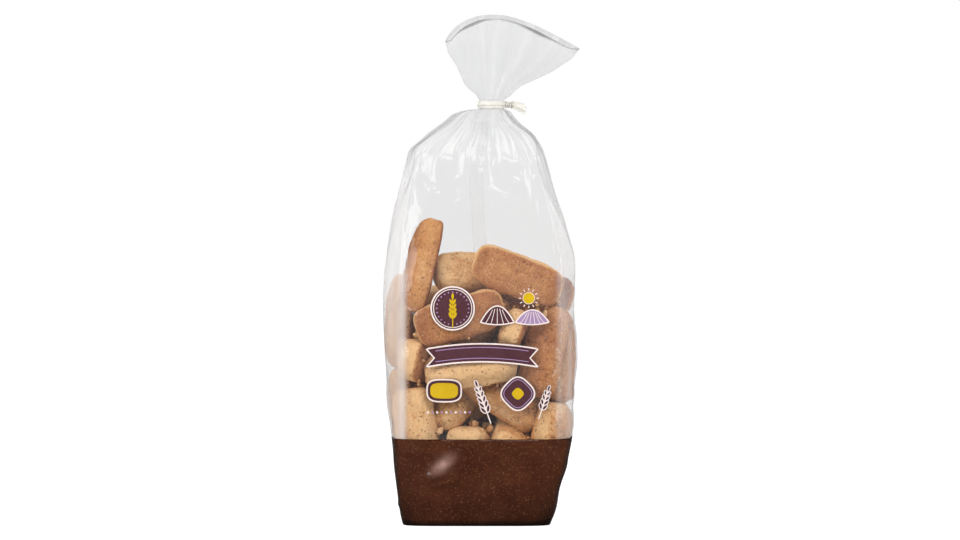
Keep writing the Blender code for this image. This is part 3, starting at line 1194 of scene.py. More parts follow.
@dataclass
class BiscuitMaker:
    """Models each biscuit of the heap and gathers them in a few pieces."""

    heap: Heap
    finish: BiscuitFinish = field(default_factory=BiscuitFinish)
    seed: int = 5
    lump: float = 0.55
    lump_size: float = 11.0
    unevenness: float = 0.26
    uneven_size: float = 4.2
    grain: float = 0.2
    grain_size: float = 1.9
    pit: float = 0.5
    pit_size: float = 2.0
    crack_size: float = 8.0
    chip_size: float = 5.0
    bend: float = 0.9
    side_bake: float = 0.22
    underside_bake: float = 0.85
    crown_bake: float = 0.2
    end_paleness: float = 0.25
    rim_bake: float = 0.3
    crack_darkening: float = 0.4
    apart: float = 400.0
    tone_spread: float = 0.14
    hidden_tone_spread: float = 0.35
    piece_names: tuple[str, ...] = (
        "biscuits_front",
        "biscuits_left",
        "biscuits_right",
        "biscuits_back",
    )
    side_edge: float = 30.0
    back_edge: float = 4.0
    smooth: Array = field(init=False)
    faces: Array = field(init=False)

    def one(self, number: int) -> Biscuit:
        """Models one biscuit.

        Args:
            number: which biscuit of the heap.

        Returns:
            The biscuit, in the bag's frame.
        """
        draw = np.random.default_rng((self.seed, number))
        noise = Noise(int(draw.integers(1 << 30)))
        biscuit = self.heap.biscuit
        points, _ = biscuit.shell(biscuit.steps)
        half = biscuit.size()
        share = points / half
        _, slope = biscuit.gauge(points)
        normal = unit(slope)
        above = ease((share[:, 2] + 0.75) / 0.5)
        ends = np.max(np.abs(share[:, :2]), axis=1)
        broad = self.lump * noise.layers(points / self.lump_size, 2)
        fine = self.unevenness * noise.layers(points / self.uneven_size + 20.0, 2)
        fine *= 0.5 + 0.5 * above
        fine += self.grain * noise.layers(points / self.grain_size, 3) * (0.6 + 0.4 * above)
        pits = np.clip(noise.at(points / self.pit_size + 40.0) - 0.38, 0.0, 1.0)
        cracks = ease(1.0 - np.abs(noise.at(points / self.crack_size + 80.0)) / 0.1)
        cracks *= np.clip(share[:, 2], 0.0, 1.0)
        chips = np.clip(noise.at(points / self.chip_size + 120.0) - 0.25, 0.0, 1.0)
        chips *= ease((ends - 0.75) / 0.2)
        hollow = pits * 2.0 * (0.45 + 0.55 * above) + 0.9 * cracks * above + 1.6 * chips
        fine -= self.pit * hollow
        both = np.stack([broad, broad + fine])
        shaped = points + normal * both[..., None]
        shaped *= 1.0 + draw.uniform(-0.03, 0.005, 3)
        shaped[..., 1] += draw.uniform(-self.bend, self.bend) * (share[:, 0] ** 2 - 0.4)
        shaped[..., 1] *= 1.0 + draw.uniform(-0.05, 0.03) * share[:, 0]
        waist = ease(1.0 - np.abs(share[:, 2]) * 1.6)
        bake = self.side_bake + self.underside_bake * ease((-share[:, 2] - 0.62) / 0.34)
        bake += self.crown_bake * ease((share[:, 2] - 0.45) / 0.5)
        bake -= self.end_paleness * ease((ends - 0.8) / 0.2) * waist
        rim = ease((ends - 0.62) / 0.3) * ease((-share[:, 2] - 0.7) / 0.2)
        bake += self.rim_bake * rim
        # the cracks and chips are drawn darker
        bake += self.crack_darkening * (cracks + chips)
        smooth, rough = self.heap.centres[number] + shaped @ self.heap.frames[number].T
        return Biscuit(rough, smooth, points + draw.uniform(-self.apart, self.apart, 3), bake)

    def tones(self) -> Array:
        """Draws how much paler or browner each biscuit is than most."""
        draw = np.random.default_rng(self.seed)
        spread, hidden_spread = self.tone_spread, self.hidden_tone_spread
        hidden = draw.uniform(-hidden_spread, hidden_spread, len(HIDDEN_SPOTS))
        seen = np.array([spot.tone for spot in FRONT_SPOTS])
        return np.concatenate([seen + draw.uniform(-spread, spread, len(seen)), hidden])

    def build(self) -> list[Object]:
        """Models the biscuits and dresses them.

        Returns:
            The pieces.
        """
        material = self.finish.build()
        _, faces = self.heap.biscuit.shell(self.heap.biscuit.steps)
        count = len(self.heap.centres)
        made = [self.one(number) for number in range(count)]
        size = len(made[0].points)
        self.smooth = np.concatenate([item.smooth for item in made])
        self.faces = np.concatenate([faces + size * number for number in range(count)])
        tones = self.tones()
        pieces = []
        for name, members in zip(self.piece_names, self.groups(), strict=True):
            chosen = [made[number] for number in members]
            joined = np.concatenate([faces + size * place for place in range(len(members))])
            points = np.concatenate([item.points for item in chosen])
            piece = make_object(name, points, joined, material)
            set_attribute(piece, "grain", np.concatenate([item.grain for item in chosen]))
            set_attribute(piece, "bake", np.concatenate([item.bake for item in chosen]))
            set_attribute(piece, "tone", np.repeat(tones[members], size))
            pieces.append(piece)
        return pieces

    def groups(self) -> list[Array]:
        """Sorts the biscuits by where they lie.

        Returns:
            The numbers of those in front, at the left, at the right and behind.
        """
        x, y = self.heap.centres[:, 0], self.heap.centres[:, 1]
        side = np.where(x < -self.side_edge, 1, np.where(x > self.side_edge, 2, 0))
        side = np.where(y > self.back_edge, 3, side)
        return [np.nonzero(side == number)[0] for number in range(4)]


@dataclass
class Crumbs:
    """Broken corners and crumbs, wedged in the gaps between the biscuits and the film."""

    form: BagForm
    tree: BVHTree
    biggest: int = 64
    smallest: int = 220
    corner_radii: Pair = (1.8, 3.9)
    crumb_radii: Pair = (0.6, 1.7)
    low: float = 54.0
    high: float = 148.0
    clearance: float = 3.0
    sunk: float = 0.75
    loose: float = 1.05
    spacing: float = 0.8
    jag: float = 0.5
    squash: Pair = (0.6, 1.15)
    tone_spread: float = 0.3
    bake: float = 0.25
    seed: int = 77

    def places(
        self, count: int, radii: Pair, draw: np.random.Generator
    ) -> list[tuple[Array, float]]:
        """Finds free places that touch a biscuit.

        Args:
            count: how many.
            radii: the smallest and largest radius.
            draw: the source of chance.

        Returns:
            The centre and radius of each.
        """
        found: list[tuple[Array, float]] = []
        while len(found) < count:
            radius = draw.uniform(*radii)
            level = draw.uniform(self.low, self.high)
            measures = self.form.measures(np.array([level]))
            centre, half_width, depth, boxiness = (item[0] for item in measures)
            wide, deep = half_width - radius - self.clearance, depth - radius - self.clearance
            x, y = draw.uniform(-wide, wide), draw.uniform(-deep, deep)
            if (abs(x) / wide) ** boxiness + (abs(y) / deep) ** boxiness > 1.0:
                continue
            place = np.array([centre + x, y, level])
            near, normal, _, away = self.tree.find_nearest(Vector(place))
            outside = np.dot(place - np.array(near), np.array(normal)) > 0
            if not outside or not self.sunk * radius < away < self.loose * radius:
                continue
            gaps = (np.linalg.norm(place - other) for other, _ in found)
            least = (self.spacing * (radius + size) for _, size in found)
            if all(gap > enough for gap, enough in zip(gaps, least, strict=True)):
                found.append((place, radius))
        return found

    def build(self, material: Material) -> Object:
        """Models the crumbs.

        Args:
            material: the biscuits' material.

        Returns:
            The piece.
        """
        draw = np.random.default_rng(self.seed)
        ball = bmesh.new()
        bmesh.ops.create_icosphere(ball, subdivisions=2, radius=1.0)
        sphere = np.array([vert.co[:] for vert in ball.verts])
        shape = np.array([[vert.index for vert in face.verts] for face in ball.faces])
        ball.free()
        noise = Noise(self.seed)
        points, faces, grain, tones = [], [], [], []
        spots = self.places(self.biggest, self.corner_radii, draw)
        spots += self.places(self.smallest, self.crumb_radii, draw)
        for number, (place, radius) in enumerate(spots):
            shift = draw.uniform(-50.0, 50.0, 3)
            jagged = 1.0 + self.jag * noise.layers(sphere * 1.3 + shift, 2)
            squash = draw.uniform(*self.squash, 3)
            own = sphere * jagged[:, None] * squash * radius * 0.9
            points.append(own + place)
            faces.append(shape + number * len(sphere))
            grain.append(own + shift * 8.0)
            tone = draw.uniform(-self.tone_spread, self.tone_spread)
            tones.append(np.full(len(sphere), tone))
        piece = make_object("crumbs", np.concatenate(points), np.concatenate(faces), material)
        set_attribute(piece, "grain", np.concatenate(grain))
        set_attribute(piece, "bake", np.full(len(sphere) * len(spots), self.bake))
        set_attribute(piece, "tone", np.concatenate(tones))
        return piece


# ---- the film


@dataclass(frozen=True)
class Pucker:
    """A soft pucker in the front of the film: its place, how far it spreads and how far it rises."""

    x: float
    z: float
    wide: float
    high: float
    rise: float
    turn: float = 0.0

    def relief(self, x: Array, z: Array) -> Array:
        """Works out how far the pucker moves the film.

        Args:
            x: across the front.
            z: up the front.

        Returns:
            The outward move at each point, in millimetres.
        """
        lean = math.radians(self.turn)
        along = (x - self.x) * math.cos(lean) + (z - self.z) * math.sin(lean)
        across = (z - self.z) * math.cos(lean) - (x - self.x) * math.sin(lean)
        return self.rise * np.exp(-((along / self.wide) ** 2) - (across / self.high) ** 2)


@dataclass(frozen=True)
class Creases:
    """Sharp creases that handling leaves in the film, each a short line with a soft end."""

    count: int
    low: float
    high: float
    length: Pair
    width: Pair
    depth: float
    upright: float
    seed: int
    radius: float = 60.0
    least_depth: float = 0.35
    bow: float = 0.012

    def relief(self, angles: Array, heights: Array) -> Array:
        """Works out how far the creases push the film in or out.

        Args:
            angles: a grid of angles round the bag.
            heights: a grid of heights.

        Returns:
            The outward move at each point, in millimetres.
        """
        draw = np.random.default_rng(self.seed)
        total = np.zeros(angles.shape)
        for _ in range(self.count):
            middle = draw.uniform(0.0, math.tau)
            level = draw.uniform(self.low, self.high)
            tilt = draw.normal(0.0, 1.0 - self.upright) * math.pi * 0.5
            half = 0.5 * draw.uniform(*self.length)
            width = draw.uniform(*self.width)
            depth = self.depth * draw.uniform(self.least_depth, 1.0) * draw.choice((-1.0, 1.0))
            bow = draw.uniform(-self.bow, self.bow)
            sideways = ((angles - middle + math.pi) % math.tau - math.pi) * self.radius
            upwards = heights - level
            along = upwards * math.cos(tilt) + sideways * math.sin(tilt)
            across = sideways * math.cos(tilt) - upwards * math.sin(tilt) + bow * along**2
            fade = np.clip(1.0 - (along / half) ** 2, 0.0, 1.0) ** 2
            total += depth * fade * np.exp(-np.sqrt(1.0 + (across / width) ** 2) + 1.0)
        return total


@dataclass
class FilmMaker:
    """Drapes the film over the biscuits and makes the clear sheet and the printed foot from it."""

    form: BagForm
    finish: FilmFinish = field(default_factory=FilmFinish)
    foot_finish: FootFinish = field(default_factory=FootFinish)
    columns: int = 400
    row_pitch: float = 1.25
    fan_rows: int = 46
    neck_rows: int = 9
    slack: float = 2.2
    pull: float = 0.005
    clearance: float = 0.95
    probe: float = 6.0
    edge_heights: tuple[float, ...] = (0.0, 0.4, 1.0, 1.8, 2.8)
    plain_from: float = 4.0
    drape_rounds: int = 500
    drape_from: float = 40.0
    drape_to: float = 200.0
    smooth_rounds: int = 8
    give: float = 0.35
    least_give: float = 0.3
    grip: float = 1.2
    pressed: float = 0.6
    puckers: tuple[Pucker, ...] = (
        Pucker(-21.5, 39.0, 8.5, 2.3, 1.8, turn=16.0),
        Pucker(-25.5, 33.6, 9.5, 2.5, 2.1, turn=10.0),
        Pucker(-21.0, 28.6, 7.5, 2.2, 1.6, turn=20.0),
        Pucker(-30.0, 47.0, 12.0, 2.6, 1.0, turn=-6.0),
        Pucker(42.0, 44.0, 12.0, 6.0, 0.6, turn=-24.0),
        Pucker(16.0, 24.0, 22.0, 7.0, 0.9, turn=14.0),
        Pucker(-37.0, 18.0, 5.0, 12.0, 0.9, turn=8.0),
    )
    # where the painted glare lies on the foot
    scuff: Pucker = Pucker(-23.6, 40.2, 7.4, 3.6, 0.8, turn=40.0)
    creases: tuple[Creases, ...] = (
        Creases(90, 60.0, 205.0, (14.0, 48.0), (0.9, 2.2), depth=0.5, upright=0.35, seed=21),
        Creases(46, 190.0, 262.0, (24.0, 80.0), (1.0, 3.0), depth=0.75, upright=0.8, seed=22),
        Creases(40, 4.0, 60.0, (12.0, 40.0), (1.0, 2.4), depth=0.75, upright=0.3, seed=23),
    )
    corner_crease: float = 0.55
    corner_width: float = 0.9
    corner_top: float = 250.0
    gather_from: float = 205.0
    gather_crease: float = 0.8
    ridge_crease: float = 0.4
    soft_crease: float = 1.1
    foot_height: float = 56.5
    foot_overlap: float = 1.5
    foot_proud: float = 0.12
    base_rings: int = 30
    base_lift: float = 0.25
    rim_width: float = 1.5
    rim_strokes: tuple[Pair, ...] = ((-5.0, 9.0), (37.0, 11.0))
    # how strong and how wide the foot's painted shade is
    deep_edge: float = 5.0
    deep_left: float = 0.8
    deep_right: float = 0.65
    deep_low: float = 0.16
    deep_low_right: float = 0.2
    deep_bottom: float = 0.7
    deep_corner: float = 0.55
    seam_half_width: float = 4.5
    fold_left: float = 45.0
    fold_right: float = 48.0
    haze_all: float = 0.01
    # the painted sheen of the side strips
    sheen_left: float = 0.36
    sheen_right: float = 0.24
    haze_fan: float = 0.15
    haze_clouds: float = 0.035
    haze_seam: float = 0.13
    haze_seam_edge: float = 0.16
    haze_top: float = 262.0
    neck_fade_rows: int = 22
    fan_fade_rows: int = 14
    sheet: Array = field(init=False)
    angles: Array = field(init=False)
    body_rows: int = field(init=False)

    def drape(self, tree: BVHTree) -> None:
        """Shapes the whole sheet over the biscuits.

        Args:
            tree: the biscuits' surface, in millimetres.
        """
        self.angles = np.arange(self.columns) * math.tau / self.columns
        top = self.form.stations[-1].height
        plain = np.arange(self.plain_from, top, self.row_pitch)
        heights = np.concatenate([self.edge_heights, plain, [top]])
        self.body_rows = len(heights)
        body = self.form.body(heights, self.angles)
        body = body + self.normals(body) * self.slump(body, heights, tree)[..., None]
        levels = np.linspace(self.form.neck_bottom, self.form.neck_top, self.neck_rows)
        neck = self.form.neck(levels, self.angles)
        shares = 1.0 - (1.0 - np.linspace(0.0, 1.0, self.fan_rows + 1)[1:]) ** 1.5
        fan = self.form.fan(shares, self.angles)
        fan = fan + self.normals(fan) * self.fan_relief(shares)[..., None]
        self.sheet = np.concatenate([body, neck, fan])
        LOG.info("film draped: %d rows of %d points", *self.sheet.shape[:2])

    @staticmethod
    def normals(grid: Array) -> Array:
        """Gives the outward direction all over a sheet that closes round the bag."""
        upwards = np.gradient(grid, axis=0)
        onwards = np.roll(grid, -1, axis=1) - np.roll(grid, 1, axis=1)
        return unit(np.cross(onwards, upwards))

    def slump(self, body: Array, heights: Array, tree: BVHTree) -> Array:
        """Lets the film sag between the biscuits it touches, and creases it.

        Args:
            body: the sheet's points before it sags.
            heights: the height of each row.
            tree: the biscuits' surface.

        Returns:
            The outward move at each point.
        """
        normal = self.normals(body)
        held = np.full(body.shape[:2], -self.slack)
        inside = np.nonzero((heights > self.plain_from) & (heights < self.drape_to))[0]
        reach = self.probe + self.slack
        for row in inside:
            starts = body[row] + normal[row] * self.probe
            for column in range(self.columns):
                inwards = Vector(-normal[row, column])
                place, _, _, away = tree.ray_cast(Vector(starts[column]), inwards, reach)
                if place is not None:
                    held[row, column] = max(-self.slack, self.probe - away + self.clearance)
        held = self.smoothed_hold(held)
        fade_in = ease((heights - self.drape_from) / 26.0)[:, None]
        fade_out = ease((self.drape_to - heights) / 30.0)[:, None]
        free = -self.pull * fade_in * fade_out
        loose = np.zeros(body.shape[:2])
        for _ in range(self.drape_rounds):
            round_about = np.roll(loose, 1, axis=1) + np.roll(loose, -1, axis=1)
            above_below = np.zeros_like(loose)
            above_below[1:-1] = loose[2:] + loose[:-2]
            loose[1:-1] = 0.25 * (round_about[1:-1] + above_below[1:-1]) + free[1:-1]
            loose = np.where(fade_in * fade_out > 0, loose, 0.0)
            loose = np.maximum(loose, np.where(held > -self.slack, held, -self.slack))
        for _ in range(self.smooth_rounds):
            near = np.roll(loose, 1, 1) + np.roll(loose, -1, 1)
            near[1:-1] += loose[2:] + loose[:-2]
            smoothed = 0.4 * loose[1:-1] + 0.15 * near[1:-1]
            loose[1:-1] = np.maximum(smoothed, held[1:-1] - self.give)
        angle, height = np.meshgrid(self.angles, heights)
        relief = self.crease_relief(angle, height)
        front = ease(-body[..., 1] / 10.0)
        relief += sum(pucker.relief(body[..., 0], body[..., 2]) for pucker in self.puckers) * front
        touching = ease(1.0 - (loose - held) / self.grip) * fade_in * fade_out
        creased = loose + relief * (1.0 - touching)
        creased = creased + np.maximum(relief, 0.0) * self.pressed * touching
        return np.where(held > -self.slack, np.maximum(creased, held - self.least_give), creased)

    def smoothed_hold(self, held: Array) -> Array:
        """Rounds off the crumbly surface that holds the film out, because film spans its grain.

        Args:
            held: how far out the biscuits hold the film at each point.

        Returns:
            The same, with the fine grain gone and nowhere much further in.
        """
        wide = held.copy()
        for axis, step in ((0, 1), (0, -1), (1, 1), (1, -1)):
            wide = np.maximum(wide, np.roll(held, step, axis=axis))
        for _ in range(self.smooth_rounds):
            near = np.roll(wide, 1, 1) + np.roll(wide, -1, 1)
            near = near + np.roll(wide, 1, 0) + np.roll(wide, -1, 0)
            smoothed = np.maximum(0.5 * wide + 0.125 * near, held - self.give)
            wide = np.where(wide > -self.slack, smoothed, wide)
        return wide

    def crease_relief(self, angle: Array, height: Array) -> Array:
        """Adds up the creases of the filled part, the shoulders and the gusset edges.

        Args:
            angle: a grid of angles.
            height: a grid of heights.

        Returns:
            The outward move at each point.
        """
        top = self.form.stations[-1].height
        relief = sum(creases.relief(angle, height) for creases in self.creases)
        relief *= ease((height - 3.0) / 10.0) * ease((top - height) / 12.0)
        corner_line = np.zeros(angle.shape)
        for turn in (0.25, 0.75, 1.25, 1.75):
            away = ((angle - turn * math.pi + math.pi) % math.tau - math.pi) * Creases.radius
            corner_line += np.exp(-np.sqrt(1.0 + (away / self.corner_width) ** 2) + 1.0)
        fade = ease((height - 6.0) / 14.0) * ease((self.corner_top - height) / 20.0)
        gather = ease((height - self.gather_from) / 50.0) * ease((top - height) / 6.0)
        wave = np.abs(np.sin(angle * 19.0 + 1.3 * np.sin(angle * 4.0) + 0.5)) ** 0.6
        relief += self.corner_crease * corner_line * fade
        return relief + self.gather_crease * gather * (wave - 0.6)

    def fan_relief(self, shares: Array) -> Array:
        """Creases the fan along its length, more towards its rim.

        Args:
            shares: 0 at the neck and 1 at the rim, one for each row.

        Returns:
            The outward move at each point.
        """
        angle, share = np.meshgrid(self.angles, shares)
        noise = Noise(31)
        place = np.stack([np.cos(angle) * 5.0, np.sin(angle) * 5.0, share * 1.1], axis=-1)
        ridges = 0.5 - np.abs(noise.layers(place * 1.4, 2))
        soft = noise.at(place * 0.5 + 9.0)
        edge = ease((1.0 - np.abs(np.cos(angle))) * 8.0)
        relief = self.ridge_crease * ridges + self.soft_crease * soft
        return relief * ease(share / 0.25) * edge * (0.35 + 0.65 * share)

    def build_film(self) -> Object:
        """Makes the clear sheet, from just below the top of the foot to the fan's rim.

        Returns:
            The piece.
        """
        lowest = self.foot_height - self.foot_overlap
        start = int(np.argmax(self.sheet[: self.body_rows, 0, 2] > lowest))
        grid = self.sheet[start:]
        faces = ring_faces(len(grid), self.columns)
        piece = make_object("clear_film", grid.reshape(-1, 3), faces, self.finish.build())
        set_attribute(piece, "edge", self.rim_darkness(grid).ravel())
        haze, gathered = self.haze(grid)
        set_attribute(piece, "haze", haze.ravel())
        set_attribute(piece, "gathered", gathered.ravel())
        return piece

    def rim_darkness(self, grid: Array) -> Array:
        """Tells where the cut edge of the fan shows dark.

        Args:
            grid: the film's points.

        Returns:
            0 to 1 at each point.
        """
        from_rim = np.linalg.norm(grid - grid[-1:], axis=-1)
        front = ease(-np.sin(self.angles) * 3.0 + 0.4)
        across = grid[-1, :, 0]
        strokes = sum(np.exp(-(((across - x) / spread) ** 2)) for x, spread in self.rim_strokes)
        strength = 0.24 + front * (0.1 + 0.66 * strokes)
        reach = self.rim_width * (0.55 + 0.9 * front * strokes + 2.2 * (1.0 - front))
        return ease((reach * 1.4 - from_rim) / reach) * strength

    def haze(self, grid: Array) -> tuple[Array, Array]:
        """Tells where the film is milky, as where it is folded double, where a painted sheen lies on
        its side strips, and where it is gathered.

        Args:
            grid: the film's points.

        Returns:
            The milkiness with the painted sheen, and the gathering, each 0 to 1 at each point.
        """
        x, y, z = grid[..., 0], grid[..., 1], grid[..., 2]
        rows = len(grid)
        clouds = 0.5 + 0.5 * Noise(45).layers(grid / 26.0, 3)
        streaks = np.clip(Noise(46).layers(grid / np.array([8.0, 8.0, 80.0]), 2), -1.0, 1.0)
        total = self.haze_all + self.haze_clouds * clouds
        # painted sheen: a milky veil on both side strips, stronger at the left, standing in for the
        # film's reflection there
        left = ease((-x - self.fold_left) / 5.0) * self.sheen_left
        right = ease((x - self.fold_right) / 5.0) * self.sheen_right
        below = ease((self.haze_top - z) / 20.0)
        total = total + (left + right) * below * (1.0 + 0.36 * streaks)
        seam_x = grid[:, [self.columns // 4], 0]
        from_seam = np.where((y > 0.0) & (z < self.haze_top), np.abs(x - seam_x), 99.0)
        seam = ease((self.seam_half_width - from_seam) / 0.5 + 0.5)
        seam_edge = ease(1.0 - np.abs(from_seam - self.seam_half_width + 0.4) / 0.9)
        total = total + self.haze_seam * seam
        total = total + self.haze_seam_edge * seam_edge
        row = np.broadcast_to(np.arange(rows)[:, None], x.shape)
        from_neck = row - (rows - self.fan_rows - self.neck_rows)
        in_fan = ease((from_neck + self.fan_fade_rows) / self.fan_fade_rows)
        total = total + in_fan * self.haze_fan * (1.0 + 0.4 * streaks)
        neck = ease((from_neck + self.neck_fade_rows) / 20.0)
        return np.clip(total, 0.0, 0.9), np.clip(neck * (0.85 + 0.3 * streaks), 0.0, 1.0)

    def build_foot(self) -> Object:
        """Makes the opaque printed foot with its folded base.

        Returns:
            The piece.
        """
        heights = self.sheet[: self.body_rows, 0, 2]
        stop = int(np.argmax(heights > self.foot_height))
        outwards = self.normals(self.sheet[: self.body_rows])[:stop]
        wall = self.sheet[:stop] + outwards * self.foot_proud
        lip = wall[-1:].copy()
        lip[..., 2] = self.foot_height
        wall[..., 2] = np.maximum(wall[..., 2], 0.0)
        shares = np.linspace(0.02, 0.98, self.base_rings)[:, None]
        ring = wall[0]
        middle = ring.mean(axis=0)
        base = middle[None, None] + (ring[None] - middle) * shares[..., None]
        base[..., 2] = self.fold_relief(base[..., 0] - middle[0], base[..., 1])
        grid = np.concatenate([base, wall, lip])
        points = np.concatenate([grid.reshape(-1, 3), [[middle[0], middle[1], self.base_lift]]])
        faces = ring_faces(len(grid), self.columns).tolist()
        centre = len(points) - 1
        faces += [[centre, (column + 1) % self.columns, column] for column in range(self.columns)]
        piece = make_object("printed_foot", points, faces, self.foot_finish.build())
        # the painted shade of the foot's edges
        set_attribute(piece, "deep", self.painted_shade(points))
        # the painted glare's patch, on the front of the foot only
        scuff = self.scuff.relief(points[:, 0], points[:, 2])
        set_attribute(piece, "scuff", scuff * (points[:, 1] < 0.0))
        return piece

    def painted_shade(self, points: Array) -> Array:
        """Tells where the foot gets painted shade, nearly black: along its side folds, its bottom
        edge and its bottom corners, and more at the right of its bottom.

        Args:
            points: the foot's points.

        Returns:
            0 to 1 at each point.
        """
        centre, half_width, _, _ = self.form.measures(np.clip(points[:, 2], 0.0, 60.0))
        to_side = half_width - np.abs(points[:, 0] - centre)
        strength = np.where(points[:, 0] < 0.0, self.deep_left, self.deep_right)
        side = ease(1.0 - to_side / self.deep_edge) * strength
        level = points[:, 2]
        rightward = ease(0.5 + points[:, 0] / 60.0)
        bottom = (self.deep_low + self.deep_low_right * rightward) * ease(1.0 - level / 36.0)
        bottom += self.deep_bottom * ease(1.0 - (level - 0.8) / 4.4)
        corner = self.deep_corner * ease(1.0 - to_side / 15.0)
        corner *= ease(1.0 - level / 32.0)
        return np.clip(np.maximum(side, bottom + corner), 0.0, 1.0)

    @staticmethod
    def fold_relief(x: Array, y: Array) -> Array:
        """Gives the base's folds: two flaps over two tucked-in ears.

        Args:
            x: across the base, from its middle.
            y: from the base's middle towards the back.

        Returns:
            The height of the base above the surface it stands on.
        """
        ear = ease((np.abs(x) - 22.0 - np.abs(y)) / 0.8)
        front_flap = ease((2.0 - y) / 0.8)
        return 0.05 + 0.25 * (1.0 - ear) * (1.0 - front_flap) + 0.45 * ear


# ---- the printed front


Outline = Array


class PrintColour(Enum):
    """The print's colours: each ink as printed, and as the film's creases wear it."""

    PLUM = InkFinish("plum_ink", srgb(76, 44, 52), srgb(98, 66, 70))
    LILAC = InkFinish("lilac_ink", srgb(162, 136, 172), srgb(140, 112, 150))
    CREAM = InkFinish("cream_ink", srgb(236, 222, 216), srgb(214, 196, 196))
    YELLOW = InkFinish("yellow_ink", srgb(208, 172, 28), srgb(186, 150, 20))


@dataclass
class Ink:
    """One colour of the print: its shapes, gathered as flat points and faces."""

    colour: PrintColour
    proud: float
    points: list[Array] = field(default_factory=list)
    faces: list[Array] = field(default_factory=list)
    count: int = 0

    def take(self, points: Array, faces: Array) -> None:
        """Adds a shape.

        Args:
            points: its x and z.
            faces: its faces.
        """
        self.points.append(np.asarray(points, float))
        self.faces.extend((np.asarray(face) + self.count) for face in faces)
        self.count += len(points)


@dataclass
class Artwork:
    """A plain printed front: a medallion, hills, a sun, a bare ribbon, a tag and ears of wheat."""

    tree: BVHTree
    pitch: float = 1.4
    outline_width: float = 0.95
    far: float = 120.0
    plum: Ink = field(default_factory=lambda: Ink(PrintColour.PLUM, proud=0.16))
    lilac: Ink = field(default_factory=lambda: Ink(PrintColour.LILAC, proud=0.2))
    cream: Ink = field(default_factory=lambda: Ink(PrintColour.CREAM, proud=0.24))
    yellow: Ink = field(default_factory=lambda: Ink(PrintColour.YELLOW, proud=0.28))

    @staticmethod
    def oval(
        x: float, z: float, wide: float, high: float, turn: float = 0.0, corner: float = 2.0
    ) -> Outline:
        """Draws an oval, or with a larger corner a rounded box.

        Args:
            x: its centre.
            z: its centre.
            wide: its half width.
            high: its half height.
            turn: how far it is turned, in degrees.
            corner: 2 for an oval, more for a box.

        Returns:
            The outline's points.
        """
        count = max(12, int(math.tau * max(wide, high) / 0.9))
        angle = np.arange(count) * math.tau / count
        cos, sin = np.cos(angle), np.sin(angle)
        along = wide * np.sign(cos) * np.abs(cos) ** (2.0 / corner)
        across = high * np.sign(sin) * np.abs(sin) ** (2.0 / corner)
        lean_cos, lean_sin = math.cos(math.radians(turn)), math.sin(math.radians(turn))
        places_x = x + along * lean_cos - across * lean_sin
        places_z = z + along * lean_sin + across * lean_cos
        return np.stack([places_x, places_z], axis=-1)

    def fill(self, ink: Ink, outline: Outline) -> None:
        """Fills an outline with ink, in faces small enough to follow the film.

        Args:
            ink: the colour.
            outline: its points, in order.
        """
        low, high = outline.min(axis=0), outline.max(axis=0)
        across = np.arange(low[0], high[0], self.pitch)
        upwards = np.arange(low[1], high[1], self.pitch)
        grid = np.stack(np.meshgrid(across, upwards), axis=-1).reshape(-1, 2)
        count = len(outline)
        edges = [(index, (index + 1) % count) for index in range(count)]
        points = [Vector(point) for point in np.concatenate([outline, grid])]
        verts, _, faces, *_ = delaunay_2d_cdt(points, edges, [list(range(count))], 1, 1e-5)
        used = sorted({index for face in faces for index in face})
        renumber = {index: place for place, index in enumerate(used)}
        corners = [[renumber[index] for index in face] for face in faces]
        ink.take(np.array([verts[index][:] for index in used]), corners)

    def line(self, ink: Ink, outline: Outline, width: float, closed: bool = True) -> None:
        """Draws a line of even width along an outline.

        Args:
            ink: the colour.
            outline: its points, in order.
            width: the line's width.
            closed: whether it joins up.
        """
        count = len(outline)
        before, after = np.roll(outline, 1, axis=0), np.roll(outline, -1, axis=0)
        if not closed:
            before[0], after[-1] = outline[0], outline[-1]
        heading = after - before
        heading /= np.maximum(np.linalg.norm(heading, axis=1, keepdims=True), 1e-9)
        side = np.stack([-heading[:, 1], heading[:, 0]], axis=-1) * width * 0.5
        points = np.concatenate([outline - side, outline + side])
        last = count if closed else count - 1
        here = np.arange(last)
        after = (here + 1) % count
        ink.take(points, np.stack([here, after, count + after, count + here], axis=-1))

    def badge(self, outline: Outline, fill: Ink, inner: Ink, gap: float) -> None:
        """Draws a filled shape with a cream line round it and a thinner line inside.

        Args:
            outline: the shape.
            fill: the colour inside.
            inner: the colour of the inside line.
            gap: how far inside the shape that line runs.
        """
        self.fill(fill, outline)
        self.line(self.cream, outline, self.outline_width)
        centre = outline.mean(axis=0)
        reach = np.linalg.norm(outline - centre, axis=1, keepdims=True)
        inside = centre + (outline - centre) * (1.0 - gap / reach)
        self.line(inner, inside, self.outline_width * 0.55)

    def dots(self, inks: tuple[Ink, ...], places: Array, radius: float) -> None:
        """Draws round dots at the given centres, in the inks by turns."""
        for number, (x, z) in enumerate(places):
            self.fill(inks[number % len(inks)], self.oval(x, z, radius, radius))

    def hill(
        self, ink: Ink, left: float, right: float, z: float, high: float, furrows: int
    ) -> None:
        """Draws a rounded hill with furrows that run together towards its top.

        Args:
            ink: the hill's colour.
            left: where it starts.
            right: where it ends.
            z: the height of its foot.
            high: how high it rises.
            furrows: how many furrows it has.
        """
        share = np.linspace(-1.0, 1.0, 48)
        middle, half = 0.5 * (left + right), 0.5 * (right - left)
        top = np.stack([middle + half * share, z + high * (1.0 - share**2)], axis=-1)
        foot = np.stack([middle + half * share[1:-1], z - 1.5 * (1.0 - share[1:-1] ** 2)], axis=-1)
        outline = np.concatenate([top[::-1], foot])
        self.fill(ink, outline)
        self.line(self.cream, outline, 0.8)
        rise = np.linspace(0.0, 0.86, 16)
        for place in (np.arange(furrows) + 0.5) / furrows * 2.0 - 1.0:
            spread = place * (1.0 - 0.72 * rise) * 0.94
            across = middle + half * spread
            upwards = z + high * rise * (1.0 - spread**2) - (1.0 - rise)
            self.line(self.cream, np.stack([across, upwards], axis=-1), 0.4, closed=False)

